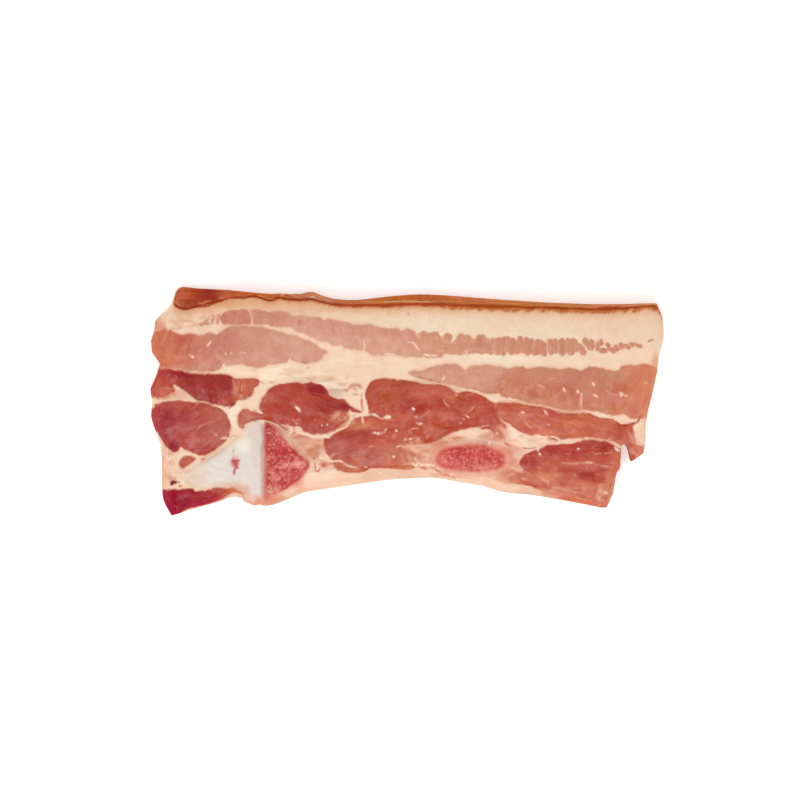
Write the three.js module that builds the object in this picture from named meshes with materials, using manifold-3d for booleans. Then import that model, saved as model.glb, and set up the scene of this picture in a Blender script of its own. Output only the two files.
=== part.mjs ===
// A thick rasher of smoked, bone-in pork belly, lying flat on its lower cut face.
// The rind runs along +Y and the inside of the rib cage along -Y. +X is the end without cartilage.
// The flesh, fat and rind are one grown-together piece. Three pieces of the rib cage run through it
// from cut face to cut face: the costal cartilage, the spongy rib end that it caps, and the oval
// section of the next rib.
import * as THREE from "three";
import { mergeVertices } from "three/addons/utils/BufferGeometryUtils.js";
import Module from "manifold-3d";

const wasm = await Module();
wasm.setup();

// Driving dimensions, in millimetres
const THICKNESS = 14; // height of the upper cut face at the rind
const RIB_SIDE_THINNING = 1.2; // the slice is this much thinner along the ribs
const BONE_GAP = 0.3; // clearance between a bone and the flesh round it
const BONE_PROUD = 0.25; // how far a bone stands over the softer flesh

// The sides spread outwards below the upper cut face and tuck in again where they meet the board.
const WIDEST_AT = 0.22; // height of the widest level, as a share of the thickness
const TUCK = 0.35; // share of the spread that is lost again at the board
const FADE = 16; // how fast one side's spread dies away along the sides next to it

// Mesh density: rows along the slice, across it and up its sides
const ROWS_ALONG = 62;
const ROWS_ACROSS = 24;
const ROWS_UP = 5;
const EDGE_CROWDING = 0.6; // 0 spaces the rows evenly, towards 1 crowds them at the edges

// Each edge of the upper cut face: knots of x, y and the outward spread of the side below.
// rimRadius rounds the edge over, and out is the direction that the side spreads in.
const RIND_EDGE = edge({ out: [0, 1], rimRadius: 0.35 }, [
  [-63.6, 26.6, 3.6],
  [-62, 25.5, 5.5],
  [-60.5, 24.9, 6.0],
  [-57, 25.7, 4.8],
  [-52.5, 26.8, 3.5],
  [-48, 28, 2.0],
  [-41, 28.4, 0.9],
  [-37, 27.4, 1.6],
  [-34.4, 28.2, 1.0],
  [-30, 27.4, 1.5],
  [-25.5, 27.9, 1.8],
  [-22, 26.7, 1.4],
  [-15, 26.2, 1.1],
  [-6, 26.2, 2.0],
  [3, 26.5, 2.4],
  [12, 26.3, 2.2],
  [25, 25.9, 1.6],
  [40, 25.5, 1.1],
  [54, 25.1, 1.1],
  [67.8, 26.2, 0.3],
]);
const RIB_EDGE = edge({ out: [0, -1], rimRadius: 1.0 }, [
  [-63.2, -30.3, 1.1],
  [-58, -28.2, 1.3],
  [-51, -26.3, 1.2],
  [-47.5, -24.6, 1.5],
  [-44.5, -25, 1.7],
  [-42, -26.4, 1.3],
  [-38.5, -26, 2.8],
  [-34, -24.2, 3.3],
  [-27, -20.3, 4.5],
  [-20, -19.2, 4.6],
  [-12, -19.1, 3.4],
  [-3, -18.7, 2.7],
  [8, -19.2, 1.9],
  [15, -20.4, 2.0],
  [21, -21, 2.3],
  [26, -22.8, 2.1],
  [34, -23.9, 1.8],
  [42, -25.5, 1.5],
  [53.6, -28.4, 0.9],
]);
const LEFT_EDGE = edge({ out: [-1, 0], rimRadius: 2.4 }, [
  [-63.2, -30.3, 0.9],
  [-64.6, -27, 1.6],
  [-65.2, -23.5, 1.6],
  [-65.4, -19, 1.4],
  [-65.8, -12, 1.4],
  [-67, -8.5, 1.5],
  [-68, -4, 1.7],
  [-67, -1, 2.4],
  [-67, 0.8, 3.0],
  [-67.9, 3.6, 1.9],
  [-66.6, 6.8, 1.7],
  [-65.2, 8.8, 1.4],
  [-65.6, 11.5, 3.0],
  [-66, 15, 4.1],
  [-65.6, 18, 3.3],
  [-65.6, 20.5, 3.4],
  [-65.3, 22.3, 2.3],
  [-64.8, 23.3, 0.9],
  [-64.2, 24.3, 0.2],
  [-63.6, 26.6, -0.7],
]);
const RIGHT_EDGE = edge({ out: [1, 0], rimRadius: 0.9 }, [
  [53.6, -28.4, 0.6],
  [55, -25.5, 0.9],
  [56.7, -18.6, 0.9],
  [61.4, -16.1, 0.5],
  [63.7, -14.1, 0.9],
  [64, -9, 1.0],
  [64.2, -5, 1.0],
  [65.8, 1, 0.8],
  [67.5, 9.5, 0.9],
  [67.9, 13, 0.8],
  [67.9, 16, 2.0],
  [68.1, 20, 1.8],
  [68.3, 23, 1.1],
  [67.8, 26.2, 0.2],
]);

// Muscles that swell over the cut face: centre, half length, half width, turn in degrees and rise
const SWELLS = [
  { x: -5, y: 17.5, along: 40, across: 3, turn: -4, rise: 0.35 },
  { x: -50, y: 14.5, along: 15, across: 5, turn: 3, rise: 0.5 },
  { x: 40, y: 4.5, along: 28, across: 4.5, turn: -3, rise: 0.35 },
  { x: -56, y: 4.5, along: 10, across: 3, turn: -8, rise: 0.35 },
  { x: -59, y: -6.5, along: 9, across: 6, turn: -8, rise: 0.6 },
  { x: -28, y: -2.5, along: 10, across: 6, turn: -10, rise: 0.5 },
  { x: 5, y: -1.5, along: 18, across: 5, turn: -8, rise: 0.5 },
  { x: -12, y: -13.5, along: 12, across: 4.5, turn: -5, rise: 0.3 },
  { x: 40, y: -5.5, along: 20, across: 3.5, turn: -8, rise: 0.4 },
  { x: 45, y: -18, along: 11, across: 6, turn: -8, rise: 0.3 },
];

// The pieces of the rib cage. slant is how far a piece has shifted by the time it meets the board.
const CARTILAGE = {
  slant: [-0.8, 0.6],
  outline: closedCurve([
    [-41.4, -5.7],
    [-39, -7.6],
    [-38.7, -12],
    [-38.7, -20],
    [-39.2, -25],
    [-41.2, -29],
    [-43.2, -28],
    [-43.6, -24.8],
    [-46, -23.2],
    [-52, -23.4],
    [-57.5, -22.6],
    [-60, -20.6],
    [-57, -18.2],
    [-51.5, -15.4],
    [-47.5, -11.8],
    [-45, -9.8],
    [-43.4, -7.4],
  ]),
};
const RIB_END = {
  slant: [-0.8, 0.6],
  outline: closedCurve([
    [-37.9, -6.6],
    [-36, -7.2],
    [-33.4, -9.8],
    [-30.2, -13.2],
    [-27.2, -16.6],
    [-28.4, -19.6],
    [-31.5, -22.4],
    [-34.8, -24.4],
    [-37.6, -25.2],
    [-38.2, -22],
    [-38.3, -16],
    [-38.3, -10],
  ]),
};
const RIB_SECTION = {
  slant: [-2.6, 0.8],
  outline: new THREE.EllipseCurve(17, -15.7, 11.5, 4.4, 0, 2 * Math.PI, false, -0.035),
};

// The cleft under the torn flap, between the belly muscle and the rib muscle below it
const CLEFT = {
  slant: [0, 0],
  outline: closedCurve([
    [58.3, -12.1],
    [59.5, -12.1],
    [60.4, -14.4],
    [61, -17.5],
    [60.6, -20],
    [58.6, -20],
    [57.9, -17],
    [58.1, -14.2],
  ]),
};

// A curve through the knots of one edge, whose third coordinate is the spread of the side
function edge(shape, knots) {
  const curve = new THREE.CatmullRomCurve3(knots.map(([x, y, spread]) => new THREE.Vector3(x, y, spread)));
  curve.arcLengthDivisions = 800;
  return { ...shape, curve };
}

function closedCurve(knots) {
  const points = knots.map(([x, y]) => new THREE.Vector3(x, y, 0));
  return new THREE.CatmullRomCurve3(points, true);
}

// Share of the full spread at a height between 0 at the board and 1 at the upper cut face
function spreadAt(height) {
  return height > WIDEST_AT
    ? 1 - ((height - WIDEST_AT) / (1 - WIDEST_AT)) ** 2
    : 1 - TUCK * (1 - height / WIDEST_AT) ** 2;
}

// How far a rounded edge has dropped at a distance in from it
function rimDrop(radius, distance) {
  return distance < radius ? radius - Math.sqrt(radius ** 2 - (radius - distance) ** 2) : 0;
}

function crowd(t) {
  return t - (EDGE_CROWDING * Math.sin(2 * Math.PI * t)) / (2 * Math.PI);
}

// Rise of the muscles over the level cut face
function swellAt(x, y) {
  return SWELLS.reduce((sum, s) => {
    const turn = THREE.MathUtils.degToRad(s.turn);
    const along = ((x - s.x) * Math.cos(turn) + (y - s.y) * Math.sin(turn)) / s.along;
    const across = ((y - s.y) * Math.cos(turn) - (x - s.x) * Math.sin(turn)) / s.across;
    return sum + s.rise * Math.exp(-(along ** 4) - across ** 4);
  }, 0);
}

// Place of the cut face's point u along the slice and v across it: a sheet stretched between the four edges
function stretched(u, v) {
  const [left, right] = [LEFT_EDGE, RIGHT_EDGE].map((e) => e.curve.getPointAt(v));
  const [rib, rind] = [RIB_EDGE, RIND_EDGE].map((e) => e.curve.getPointAt(u));
  const corner = (e, end) => e.curve.getPointAt(end);
  const blend = (axis) =>
    rib[axis] * (1 - v) +
    rind[axis] * v +
    left[axis] * (1 - u) +
    right[axis] * u -
    corner(RIB_EDGE, 0)[axis] * (1 - u) * (1 - v) -
    corner(RIB_EDGE, 1)[axis] * u * (1 - v) -
    corner(RIND_EDGE, 0)[axis] * (1 - u) * v -
    corner(RIND_EDGE, 1)[axis] * u * v;
  const spread = new THREE.Vector2(
    right.z * u ** FADE - left.z * (1 - u) ** FADE,
    rind.z * v ** FADE - rib.z * (1 - v) ** FADE,
  );
  return { x: blend("x"), y: blend("y"), spread };
}

// A block's point, at u, v and w from 0 to 1, moved to its place in the slice
function place(u, v, w) {
  const { x, y, spread } = stretched(u, v);
  const length = RIND_EDGE.curve.getLength();
  const width = LEFT_EDGE.curve.getLength();
  const drop = Math.max(
    rimDrop(LEFT_EDGE.rimRadius, u * length),
    rimDrop(RIGHT_EDGE.rimRadius, (1 - u) * length),
    rimDrop(RIB_EDGE.rimRadius, v * width),
    rimDrop(RIND_EDGE.rimRadius, (1 - v) * width),
  );
  const top = THICKNESS - RIB_SIDE_THINNING * (1 - v) + swellAt(x, y) - drop;
  const share = spreadAt(w);
  return new THREE.Vector3(x + spread.x * share, y + spread.y * share, w * top);
}

// The whole slice, with no bones taken out: a block whose points are moved to their places
function wholeSlice() {
  const block = new THREE.BoxGeometry(1, 1, 1, ROWS_ALONG, ROWS_ACROSS, ROWS_UP);
  const points = block.getAttribute("position");
  for (let i = 0; i < points.count; i++) {
    const u = crowd(points.getX(i) + 0.5);
    const v = crowd(points.getY(i) + 0.5);
    const p = place(u, v, points.getZ(i) + 0.5);
    points.setXYZ(i, p.x, p.y, p.z);
  }
  return solid(block);
}

// The outline's points, each moved outwards by grow
function grownOutline(curve, grow, count) {
  const ring = curve.getPoints(count).slice(0, count);
  const shape = new THREE.Shape(ring.map((p) => new THREE.Vector2(p.x, p.y)));
  const side = THREE.ShapeUtils.isClockWise(shape.getPoints()) ? -1 : 1;
  return ring.map((p, i) => {
    const before = ring[(i + count - 1) % count];
    const after = ring[(i + 1) % count];
    const along = new THREE.Vector2(after.x - before.x, after.y - before.y).normalize();
    return new THREE.Vector2(p.x + side * grow * along.y, p.y - side * grow * along.x);
  });
}

// A prism of an outline that runs right through the slice, slanting with the bone
function prism({ outline, slant }, grow = 0, count = 44) {
  const past = 2; // how far it reaches past both cut faces
  const height = THICKNESS + 2 * past;
  const shape = new THREE.Shape(grownOutline(outline, grow, count));
  const geometry = new THREE.ExtrudeGeometry(shape, { depth: height, bevelEnabled: false });
  const points = geometry.getAttribute("position");
  for (let i = 0; i < points.count; i++) {
    const z = points.getZ(i) - past;
    const shift = 1 - z / THICKNESS;
    points.setXYZ(i, points.getX(i) + slant[0] * shift, points.getY(i) + slant[1] * shift, z);
  }
  return solid(geometry);
}

function solid(geometry) {
  geometry.deleteAttribute("normal");
  geometry.deleteAttribute("uv");
  const merged = mergeVertices(geometry, 1e-4);
  return new wasm.Manifold(
    new wasm.Mesh({
      numProp: 3,
      vertProperties: merged.getAttribute("position").array,
      triVerts: new Uint32Array(merged.index.array),
    }),
  );
}

function mesh(name, body, look) {
  const { vertProperties, triVerts } = body.getMesh();
  const geometry = new THREE.BufferGeometry()
    .setAttribute("position", new THREE.BufferAttribute(vertProperties, 3))
    .setIndex(new THREE.BufferAttribute(triVerts, 1));
  geometry.computeVertexNormals();
  const made = new THREE.Mesh(geometry, new THREE.MeshStandardMaterial(look));
  made.name = name;
  return made;
}

const slice = wholeSlice();
const bones = { rib_cartilage: CARTILAGE, rib_end: RIB_END, rib_section: RIB_SECTION };
const looks = {
  belly_meat: { color: 0xd79c80, roughness: 0.45, metalness: 0 },
  rib_cartilage: { color: 0xeae1d5, roughness: 0.3, metalness: 0 },
  rib_end: { color: 0xc9564c, roughness: 0.5, metalness: 0 },
  rib_section: { color: 0xd9837a, roughness: 0.5, metalness: 0 },
};

let meat = slice.subtract(prism(CLEFT));
for (const bone of Object.values(bones)) meat = meat.subtract(prism(bone, BONE_GAP));

const rasher = new THREE.Group();
rasher.add(mesh("belly_meat", meat, looks.belly_meat));
for (const [name, bone] of Object.entries(bones)) {
  // A bone is as high as the slice there, and a little prouder, because soft flesh sinks back from it.
  const proud = slice.scale([1, 1, 1 + BONE_PROUD / THICKNESS]);
  rasher.add(mesh(name, proud.intersect(prism(bone)), looks[name]));
}

// The origin is on the board, under the middle of the slice.
const box = new THREE.Box3().setFromObject(rasher);
const middle = box.getCenter(new THREE.Vector3());
rasher.children.forEach((piece) => piece.position.set(-middle.x, -middle.y, -box.min.z));

export default rasher;
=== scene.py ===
# %% [markdown]
# # A pork belly rasher
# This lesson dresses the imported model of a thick, smoked, bone-in slice of pork belly.
# The model is loaded first, as a fixed frame. Every piece made below lies where the model says.

# %% Load the frame
import math

import bpy
import numpy as np
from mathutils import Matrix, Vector
from mathutils.bvhtree import BVHTree


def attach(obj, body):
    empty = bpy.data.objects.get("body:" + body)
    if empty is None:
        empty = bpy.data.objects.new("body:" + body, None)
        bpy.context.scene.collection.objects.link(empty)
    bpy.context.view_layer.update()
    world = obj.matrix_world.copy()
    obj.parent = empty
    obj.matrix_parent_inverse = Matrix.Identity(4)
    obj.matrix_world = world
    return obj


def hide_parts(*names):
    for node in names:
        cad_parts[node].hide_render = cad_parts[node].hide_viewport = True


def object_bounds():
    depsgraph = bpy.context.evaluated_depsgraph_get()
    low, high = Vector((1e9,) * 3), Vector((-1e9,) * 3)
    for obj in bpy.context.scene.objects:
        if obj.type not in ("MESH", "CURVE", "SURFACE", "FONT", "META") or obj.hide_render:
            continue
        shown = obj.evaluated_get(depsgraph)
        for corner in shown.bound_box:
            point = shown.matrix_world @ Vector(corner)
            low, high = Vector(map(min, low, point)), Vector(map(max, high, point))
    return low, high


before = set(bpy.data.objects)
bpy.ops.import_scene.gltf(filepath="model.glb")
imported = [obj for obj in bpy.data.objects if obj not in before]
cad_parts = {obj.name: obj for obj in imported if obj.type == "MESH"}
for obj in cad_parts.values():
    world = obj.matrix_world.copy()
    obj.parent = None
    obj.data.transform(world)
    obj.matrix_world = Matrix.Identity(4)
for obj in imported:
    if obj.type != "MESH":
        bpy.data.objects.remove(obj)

cad_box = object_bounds()
MM = 0.001
THICK = (cad_box[1][2] - cad_box[0][2]) / MM
print("box of the model:", [[round(v, 4) for v in corner] for corner in cad_box])

# %% [markdown]
# ## The plan
# A belly slice is read like a map. Everything on it is placed by x and y in millimetres on the upper
# cut face: muscles by their outlines, seams by a line, flecks by a point. The plan's own origin is a
# hair off the model's, which is centred on its box, so one small shift joins the two.
# Outlines are a few listed points with a smooth curve through them, because the curve of a muscle
# is seldom known better than that.

# %% Curves through listed points
PLAN_SHIFT = (0.0645, -0.2089)


def curve_through(points, closed=True, steps=6):
    """A smooth curve through the points, as rows of x and y."""
    knots = np.array(points, float)
    if not closed:
        knots = np.vstack([2 * knots[0] - knots[1], knots, 2 * knots[-1] - knots[-2]])
    t = np.linspace(0, 1, steps, endpoint=False)[:, None]
    count = len(knots)
    spans = range(count) if closed else range(1, count - 2)
    rows = []
    for i in spans:
        a, b, c, d = (knots[(i + k) % count] for k in (-1, 0, 1, 2))
        rows.append(
            b + t * 0.5 * (c - a)
            + t**2 * (a - 2.5 * b + 2 * c - 0.5 * d)
            + t**3 * (1.5 * b - 0.5 * a - 1.5 * c + 0.5 * d)
        )
    if not closed:
        rows.append(knots[-2:-1])
    return np.vstack(rows)


print("a closed curve through 3 points has", len(curve_through([(0, 0), (5, 4), (9, 0)])), "rows")

# %% Distances in the plan
def near_box(plan, line, reach):
    """Which points of the plan lie in the box of a line, widened by reach."""
    low, high = line.min(0) - reach, line.max(0) + reach
    return np.flatnonzero(np.all((plan > low) & (plan < high), axis=1))


def to_segment(x, y, start, end):
    """The squared distance to a segment, and how far along it the nearest point is."""
    (ax, ay), (bx, by) = start, end
    ex, ey = bx - ax, by - ay
    t = np.clip(((x - ax) * ex + (y - ay) * ey) / (ex * ex + ey * ey + 1e-12), 0, 1)
    return (x - ax - t * ex) ** 2 + (y - ay - t * ey) ** 2, t


def depth_inside(plan, outline, reach=4.0):
    """Millimetres inside a closed outline. It is negative outside, down to -reach."""
    depth = np.full(len(plan), -reach)
    near = near_box(plan, outline, reach)
    x, y = plan[near].T
    best = np.full(len(near), reach**2)
    inside = np.zeros(len(near), bool)
    for start, end in zip(outline, np.roll(outline, -1, 0)):
        best = np.minimum(best, to_segment(x, y, start, end)[0])
        (ax, ay), (bx, by) = start, end
        if ay != by:
            inside ^= ((ay > y) != (by > y)) & (x < ax + (bx - ax) * (y - ay) / (by - ay))
    depth[near] = np.where(inside, 1, -1) * np.sqrt(best)
    return depth


def distance_to(plan, line, reach=2.0):
    """Millimetres to an open line, and how far along it, from 0 to 1, the nearest point is."""
    distance = np.full(len(plan), reach)
    along = np.zeros(len(plan))
    near = near_box(plan, line, reach)
    x, y = plan[near].T
    best = np.full(len(near), reach**2)
    where = np.zeros(len(near))
    for i, (start, end) in enumerate(zip(line[:-1], line[1:])):
        far, t = to_segment(x, y, start, end)
        where = np.where(far < best, (i + t) / (len(line) - 1), where)
        best = np.minimum(best, far)
    distance[near] = np.sqrt(best)
    along[near] = where
    return distance, along


probe = distance_to(np.array([[5.0, 3.0]]), np.array([[0.0, 0.0], [10.0, 0.0]]), 4.0)
print("a place 3 mm beside the middle of a line: distance and share along it", *probe)

# %% [markdown]
# ## Unevenness
# Nothing in meat is straight or even. One repeatable cloud of noise, worked out at any point in space,
# wavers the outlines, mottles the tones and lifts the surface. It is the same on each run, because
# each corner of its lattice takes its value from the corner's own number.

# %% Clouds of noise
def lattice_value(cell, seed):
    """A repeatable value from -1 to 1 for each corner of the lattice."""
    mixed = cell[0] * 374761393 + cell[1] * 668265263 + cell[2] * 1442695041 + seed * 974711
    mixed = (mixed ^ (mixed >> 13)) * 1274126177 & 0x7FFFFFFF
    return ((mixed ^ (mixed >> 16)) & 0xFFFF) / 32767.5 - 1


def cloud(points, size, seed=0, layers=1):
    """Smooth noise, about -1 to 1, whose blobs are `size` millimetres across."""
    total, strength, weight = np.zeros(len(points)), 0.0, 1.0
    for layer in range(layers):
        scaled = points / (np.array(size, float) * 0.5**layer) + 17.3 * layer
        corner = np.floor(scaled).astype(np.int64)
        inner = scaled - corner
        fade = inner * inner * inner * (inner * (inner * 6 - 15) + 10)
        value = np.zeros(len(points))
        for step in np.ndindex(2, 2, 2):
            share = np.ones(len(points))
            for axis in range(3):
                share *= fade[:, axis] if step[axis] else 1 - fade[:, axis]
            value += share * lattice_value([corner[:, a] + step[a] for a in range(3)], seed + 31 * layer)
        total += weight * value
        strength += weight
        weight *= 0.5
    return total / strength


probe = cloud(np.outer(np.linspace(0, 90, 400), (1, 0.7, 0.3)), 4)
print("a cloud lies between", probe.min().round(2), "and", probe.max().round(2))

# %% Steps and tones
def ramp(value, start, end):
    """A smooth step from 0 at start to 1 at end."""
    t = np.clip((value - start) / (end - start), 0, 1)
    return t * t * (3 - 2 * t)


SHEEN = 0.014  # light that the wet surface mirrors, on top of its own tone


def linear(colour):
    """The paint that looks like a colour, given from 0 to 255, once it is lit."""
    share = np.array(colour, float) / 255
    light = np.where(share <= 0.04045, share / 12.92, ((share + 0.055) / 1.055) ** 2.4)
    return np.maximum(light - SHEEN, 0.002)


print("a middle grey as paint:", linear((128, 128, 128)).round(3))

# %% [markdown]
# ## The muscles
# Twelve muscles show in the cut. Each has an outline, a tone, the way its fibres run, and a few
# washes: soft patches where its tone changes, such as an end that has dried to orange. Where an
# outline runs off the slice, it goes on past the edge, so the muscle also covers the side there.

# %% Pale muscles under the skin
# `fibres` is the angle that the fibres run at, and `rise` is how far the muscle stands up, in
# millimetres. A wash is x, y, half width, half height and a colour.
MUSCLES = {}
MUSCLES["outer_flank"] = {"tone": (208, 150, 125), "fibres": 65, "rise": 0.12, "outline": [
    (-76, 18.4), (-68.8, 18.7), (-66, 19.5), (-63.5, 18.8), (-61, 17.9), (-58, 18.3), (-55.5, 17.8),
    (-53.5, 18.5), (-51.5, 18), (-49.5, 19.6), (-47.5, 20.4), (-45, 20.6), (-42.5, 20.3), (-40, 20.1),
    (-37.5, 19.5), (-34.5, 18.8), (-32.5, 18), (-30, 17.6), (-27.5, 16.6), (-25, 15.5), (-23.3, 14.2),
    (-21.5, 13.2), (-22.5, 12.2), (-24, 10.9), (-28, 10.1), (-31.8, 11), (-33, 10.1), (-37, 9.8),
    (-39, 9.2), (-42, 8.9), (-46, 9.8), (-50, 9), (-53, 7.9), (-55.5, 7.7), (-59, 8.2), (-64, 8.6),
    (-68, 8.9), (-76, 8.6),
], "washes": [
    (-70, 14, 7, 7, (200, 108, 80)), (-61, 15.5, 3.5, 3, (199, 110, 88)), (-64, 11.5, 4, 3, (205, 119, 91)),
    (-57, 12.5, 4.5, 4, (202, 130, 108)), (-50, 16, 3, 4, (201, 130, 111)),
    (-68, 20, 3, 1.6, (208, 128, 102)), (-30, 14, 8, 4, (211, 157, 134)),
    (-58, 8.4, 4, 1.2, (204, 138, 116)),
]}
MUSCLES["skin_muscle"] = {"tone": (211, 155, 130), "fibres": 92, "rise": 0.14, "outline": [
    (-41.6, 20.9), (-42.2, 22.8), (-42.6, 24.4), (-40.6, 24.9), (-39, 24.5), (-37.5, 24.1), (-35.5, 24.3),
    (-33, 24.2), (-31.4, 23.5), (-30.5, 23), (-28, 23.1), (-25.2, 22.9), (-23.3, 22.6), (-22.7, 21.9),
    (-21.2, 22.3), (-18.5, 21.8), (-16, 21.2), (-13, 20.5), (-10.2, 20.8), (-8.5, 20.1), (-6, 19.6),
    (-4.5, 19.6), (-2.6, 19.9), (-1.5, 19.1), (0.3, 19.5), (1.6, 19.1), (2.3, 18), (2.6, 16.4), (3.2, 14.4),
    (2.8, 12.5), (0.5, 11.9), (-1.5, 12.1), (-3.3, 12.2), (-5.5, 12.1), (-8.5, 12.3), (-9.8, 12.4),
    (-10.3, 13.1), (-11.2, 13.4), (-12.2, 13.6), (-13.3, 13.5), (-14.2, 14), (-15.5, 13.9), (-16.4, 14.5),
    (-17, 14.1), (-17.7, 14.9), (-18.8, 14.9), (-19.8, 14.8), (-20.8, 15.2), (-21.7, 15.9), (-23.5, 16),
    (-24.3, 16.1), (-25.2, 17), (-26.2, 16.9), (-27.2, 17.6), (-28.2, 18.4), (-30, 18.5), (-30.8, 19.2),
    (-31.8, 19.8), (-33.5, 19.9), (-36.5, 20.1), (-38, 20.6), (-40.6, 20.5),
], "washes": [
    (-39, 22.5, 5, 2.5, (206, 144, 121)), (-28, 20.5, 3, 2, (214, 160, 138)),
    (-20, 18, 4, 3, (214, 162, 141)), (-29.2, 21.3, 0.5, 0.6, (196, 104, 92)),
]}
MUSCLES["skin_muscle_end"] = {"tone": (201, 134, 114), "fibres": 95, "rise": 0.14, "outline": [
    (-50, 20.9), (-50.6, 22.6), (-48.8, 24.4), (-46, 24.7), (-43.4, 24.6), (-42.6, 22.8), (-42.2, 21),
    (-43.5, 20.7), (-46.5, 20.7), (-49, 20.6),
], "washes": []}
print(len(MUSCLES), "muscles so far")

# %% The pale belly muscle
MUSCLES["outer_belly"] = {"tone": (202, 138, 112), "fibres": 62, "rise": 0.12, "outline": [
    (0.8, 8.2), (2.2, 8.4), (3.7, 8.1), (4.6, 8.6), (7, 9.4), (9.5, 9.8), (11.5, 9.95), (13.2, 9.8),
    (14.6, 9.2), (15.8, 8.4), (16.8, 9.2), (18, 9.5), (19.5, 9.4), (21, 9.65), (23, 9.65), (26, 9.3),
    (27.6, 8.8), (29, 9.1), (31, 9.4), (32.5, 8.9), (34, 9), (36.5, 9.1), (39, 8.9), (41.5, 8.6),
    (43.5, 8.9), (45.6, 8.6), (47.3, 8), (48.6, 8.8), (50, 9.2), (52, 9), (54.5, 8.5), (57.2, 8.2),
    (58.2, 9.3), (60, 9.7), (62, 9.6), (64, 10.1), (66, 9.9), (67.2, 9.2), (69.5, 8.8), (76, 8.5),
    (76, -5.2), (66, -4.9), (62, -5.1), (60.5, -4.7), (59, -3.8), (56, -4.1), (52.5, -3.2), (47.5, -2.4),
    (43, -2.7), (38, -1.5), (34, -0.9), (30, 0.1), (27.5, 0.7), (25.5, 1.2), (25, 1.8), (22.5, 1.7),
    (21.5, 1.8), (18, 2.9), (15, 3.7), (12, 4.3), (9, 5), (7, 5.5), (4, 6.2), (2, 7), (0.9, 7.6),
], "washes": [
    (7, 7.5, 10, 3, (210, 157, 131)), (20, 7.5, 7, 3, (210, 155, 131)), (29, 4, 5, 3, (199, 126, 98)),
    (40, 2.2, 7, 1.8, (197, 117, 89)), (48, 5, 5, 3, (199, 132, 109)), (66, 6, 6, 5, (211, 133, 101)),
    (61, 3, 4, 2, (203, 116, 85)), (65, 1, 4, 2, (207, 122, 91)), (52, 0.5, 8, 2, (203, 128, 104)),
    (58, -2, 3, 1.5, (201, 118, 93)), (64, -3, 3, 2.5, (212, 130, 102)), (40, -0.8, 4, 1, (206, 138, 113)),
    (56, 6.5, 3, 1.5, (200, 138, 112)),
]}
print(len(MUSCLES), "muscles so far")

# %% Dark muscles at the -X end
MUSCLES["inner_flank"] = {"tone": (163, 66, 62), "fibres": 97, "rise": 0.2, "outline": [
    (-76, 8.6), (-66.3, 8.7), (-63, 8.2), (-60.5, 7.8), (-58.5, 7.3), (-55, 7.15), (-51, 7.2), (-48.3, 7),
    (-46.5, 6.2), (-45, 6.05), (-43, 6), (-41, 6.1), (-40, 5.1), (-40.4, 4.1), (-41.4, 3.2), (-42, 1.5),
    (-43, 0.7), (-45.4, 0.4), (-46.4, -0.4), (-47.4, -1.4), (-49, -1.6), (-50.5, -1.4), (-53, -1),
    (-55.5, -0.2), (-57.5, 0.4), (-59, 1.5), (-61, 3), (-63.4, 4.3), (-62.8, 2.4), (-64, 2.1), (-65.5, 1.2),
    (-67, 0.9), (-69, 0.8), (-76, 0.9),
], "washes": [
    (-69, 4.5, 5, 4, (192, 92, 77)), (-61.5, 7.3, 4.5, 0.9, (152, 38, 50)), (-50, 4, 3, 3, (159, 60, 56)),
    (-43.6, 3.5, 3.4, 3.2, (194, 100, 84)), (-48.5, 0.2, 2, 1.2, (178, 88, 74)),
    (-66, 6.5, 1.5, 1.5, (172, 60, 60)),
]}
MUSCLES["round_muscle"] = {"tone": (177, 82, 77), "fibres": 40, "rise": 0.25, "outline": [
    (-76, -1.6), (-69.6, -2.2), (-68.4, -1.1), (-66.5, -0.4), (-62, -0.1), (-57, -0.4), (-54, -1.2),
    (-51.5, -2), (-49.6, -3), (-48.9, -3.9), (-48.2, -5.2), (-47.8, -6.6), (-48.1, -8.3), (-48.4, -9.8),
    (-49.6, -11.2), (-51.2, -12.6), (-53.2, -14), (-55.3, -14.7), (-57.5, -14.6), (-59.2, -13.9),
    (-60.5, -13.3), (-61.3, -12.6), (-62.2, -13.6), (-63.6, -14.1), (-64.8, -13.4), (-65.8, -12.2),
    (-67, -10.2), (-68.6, -8.5), (-76, -8.5),
], "washes": [
    (-69, -4, 2.5, 3, (168, 70, 69)), (-65.5, -7, 1.8, 5, (164, 68, 73)),
    (-50.5, -7, 2.5, 5, (191, 113, 97)), (-63.5, -12, 1.3, 1.2, (144, 48, 64)),
    (-55.5, -12, 3, 2, (183, 92, 86)), (-62, -1, 5, 1, (184, 90, 76)), (-54, -2.5, 3, 1.3, (186, 98, 82)),
]}
MUSCLES["bean_muscle"] = {"tone": (182, 94, 80), "fibres": 30, "rise": 0.15, "outline": [
    (-61.6, -16.4), (-60.6, -15.2), (-59, -14.9), (-57.3, -15.9), (-58.6, -17), (-59.7, -17.9),
    (-60.8, -18.5), (-61.7, -17.7),
], "washes": []}
MUSCLES["skirt"] = {"tone": (160, 48, 62), "fibres": 12, "rise": 0.2, "outline": [
    (-72, -24.6), (-65.5, -24.3), (-63.5, -24), (-61.5, -24.1), (-60, -23.8), (-58.2, -23.8), (-57, -24.6),
    (-55.5, -24.4), (-54, -24.3), (-52, -23.9), (-50, -23.7), (-48.5, -23.9), (-46.4, -24.5),
    (-47.4, -25.3), (-49.5, -26.2), (-51.5, -27.2), (-54, -28.1), (-57, -28.9), (-60, -29.7), (-62, -30.8),
    (-63.3, -31.8), (-66, -34), (-72, -33),
], "washes": [
    (-63, -28, 2.5, 2, (152, 38, 56)), (-55, -25.6, 4, 1.2, (172, 66, 69)),
    (-49, -24.8, 3, 1, (196, 107, 82)), (-57.7, -24.9, 1, 0.6, (150, 30, 52)),
]}
print(len(MUSCLES), "muscles so far")

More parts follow.
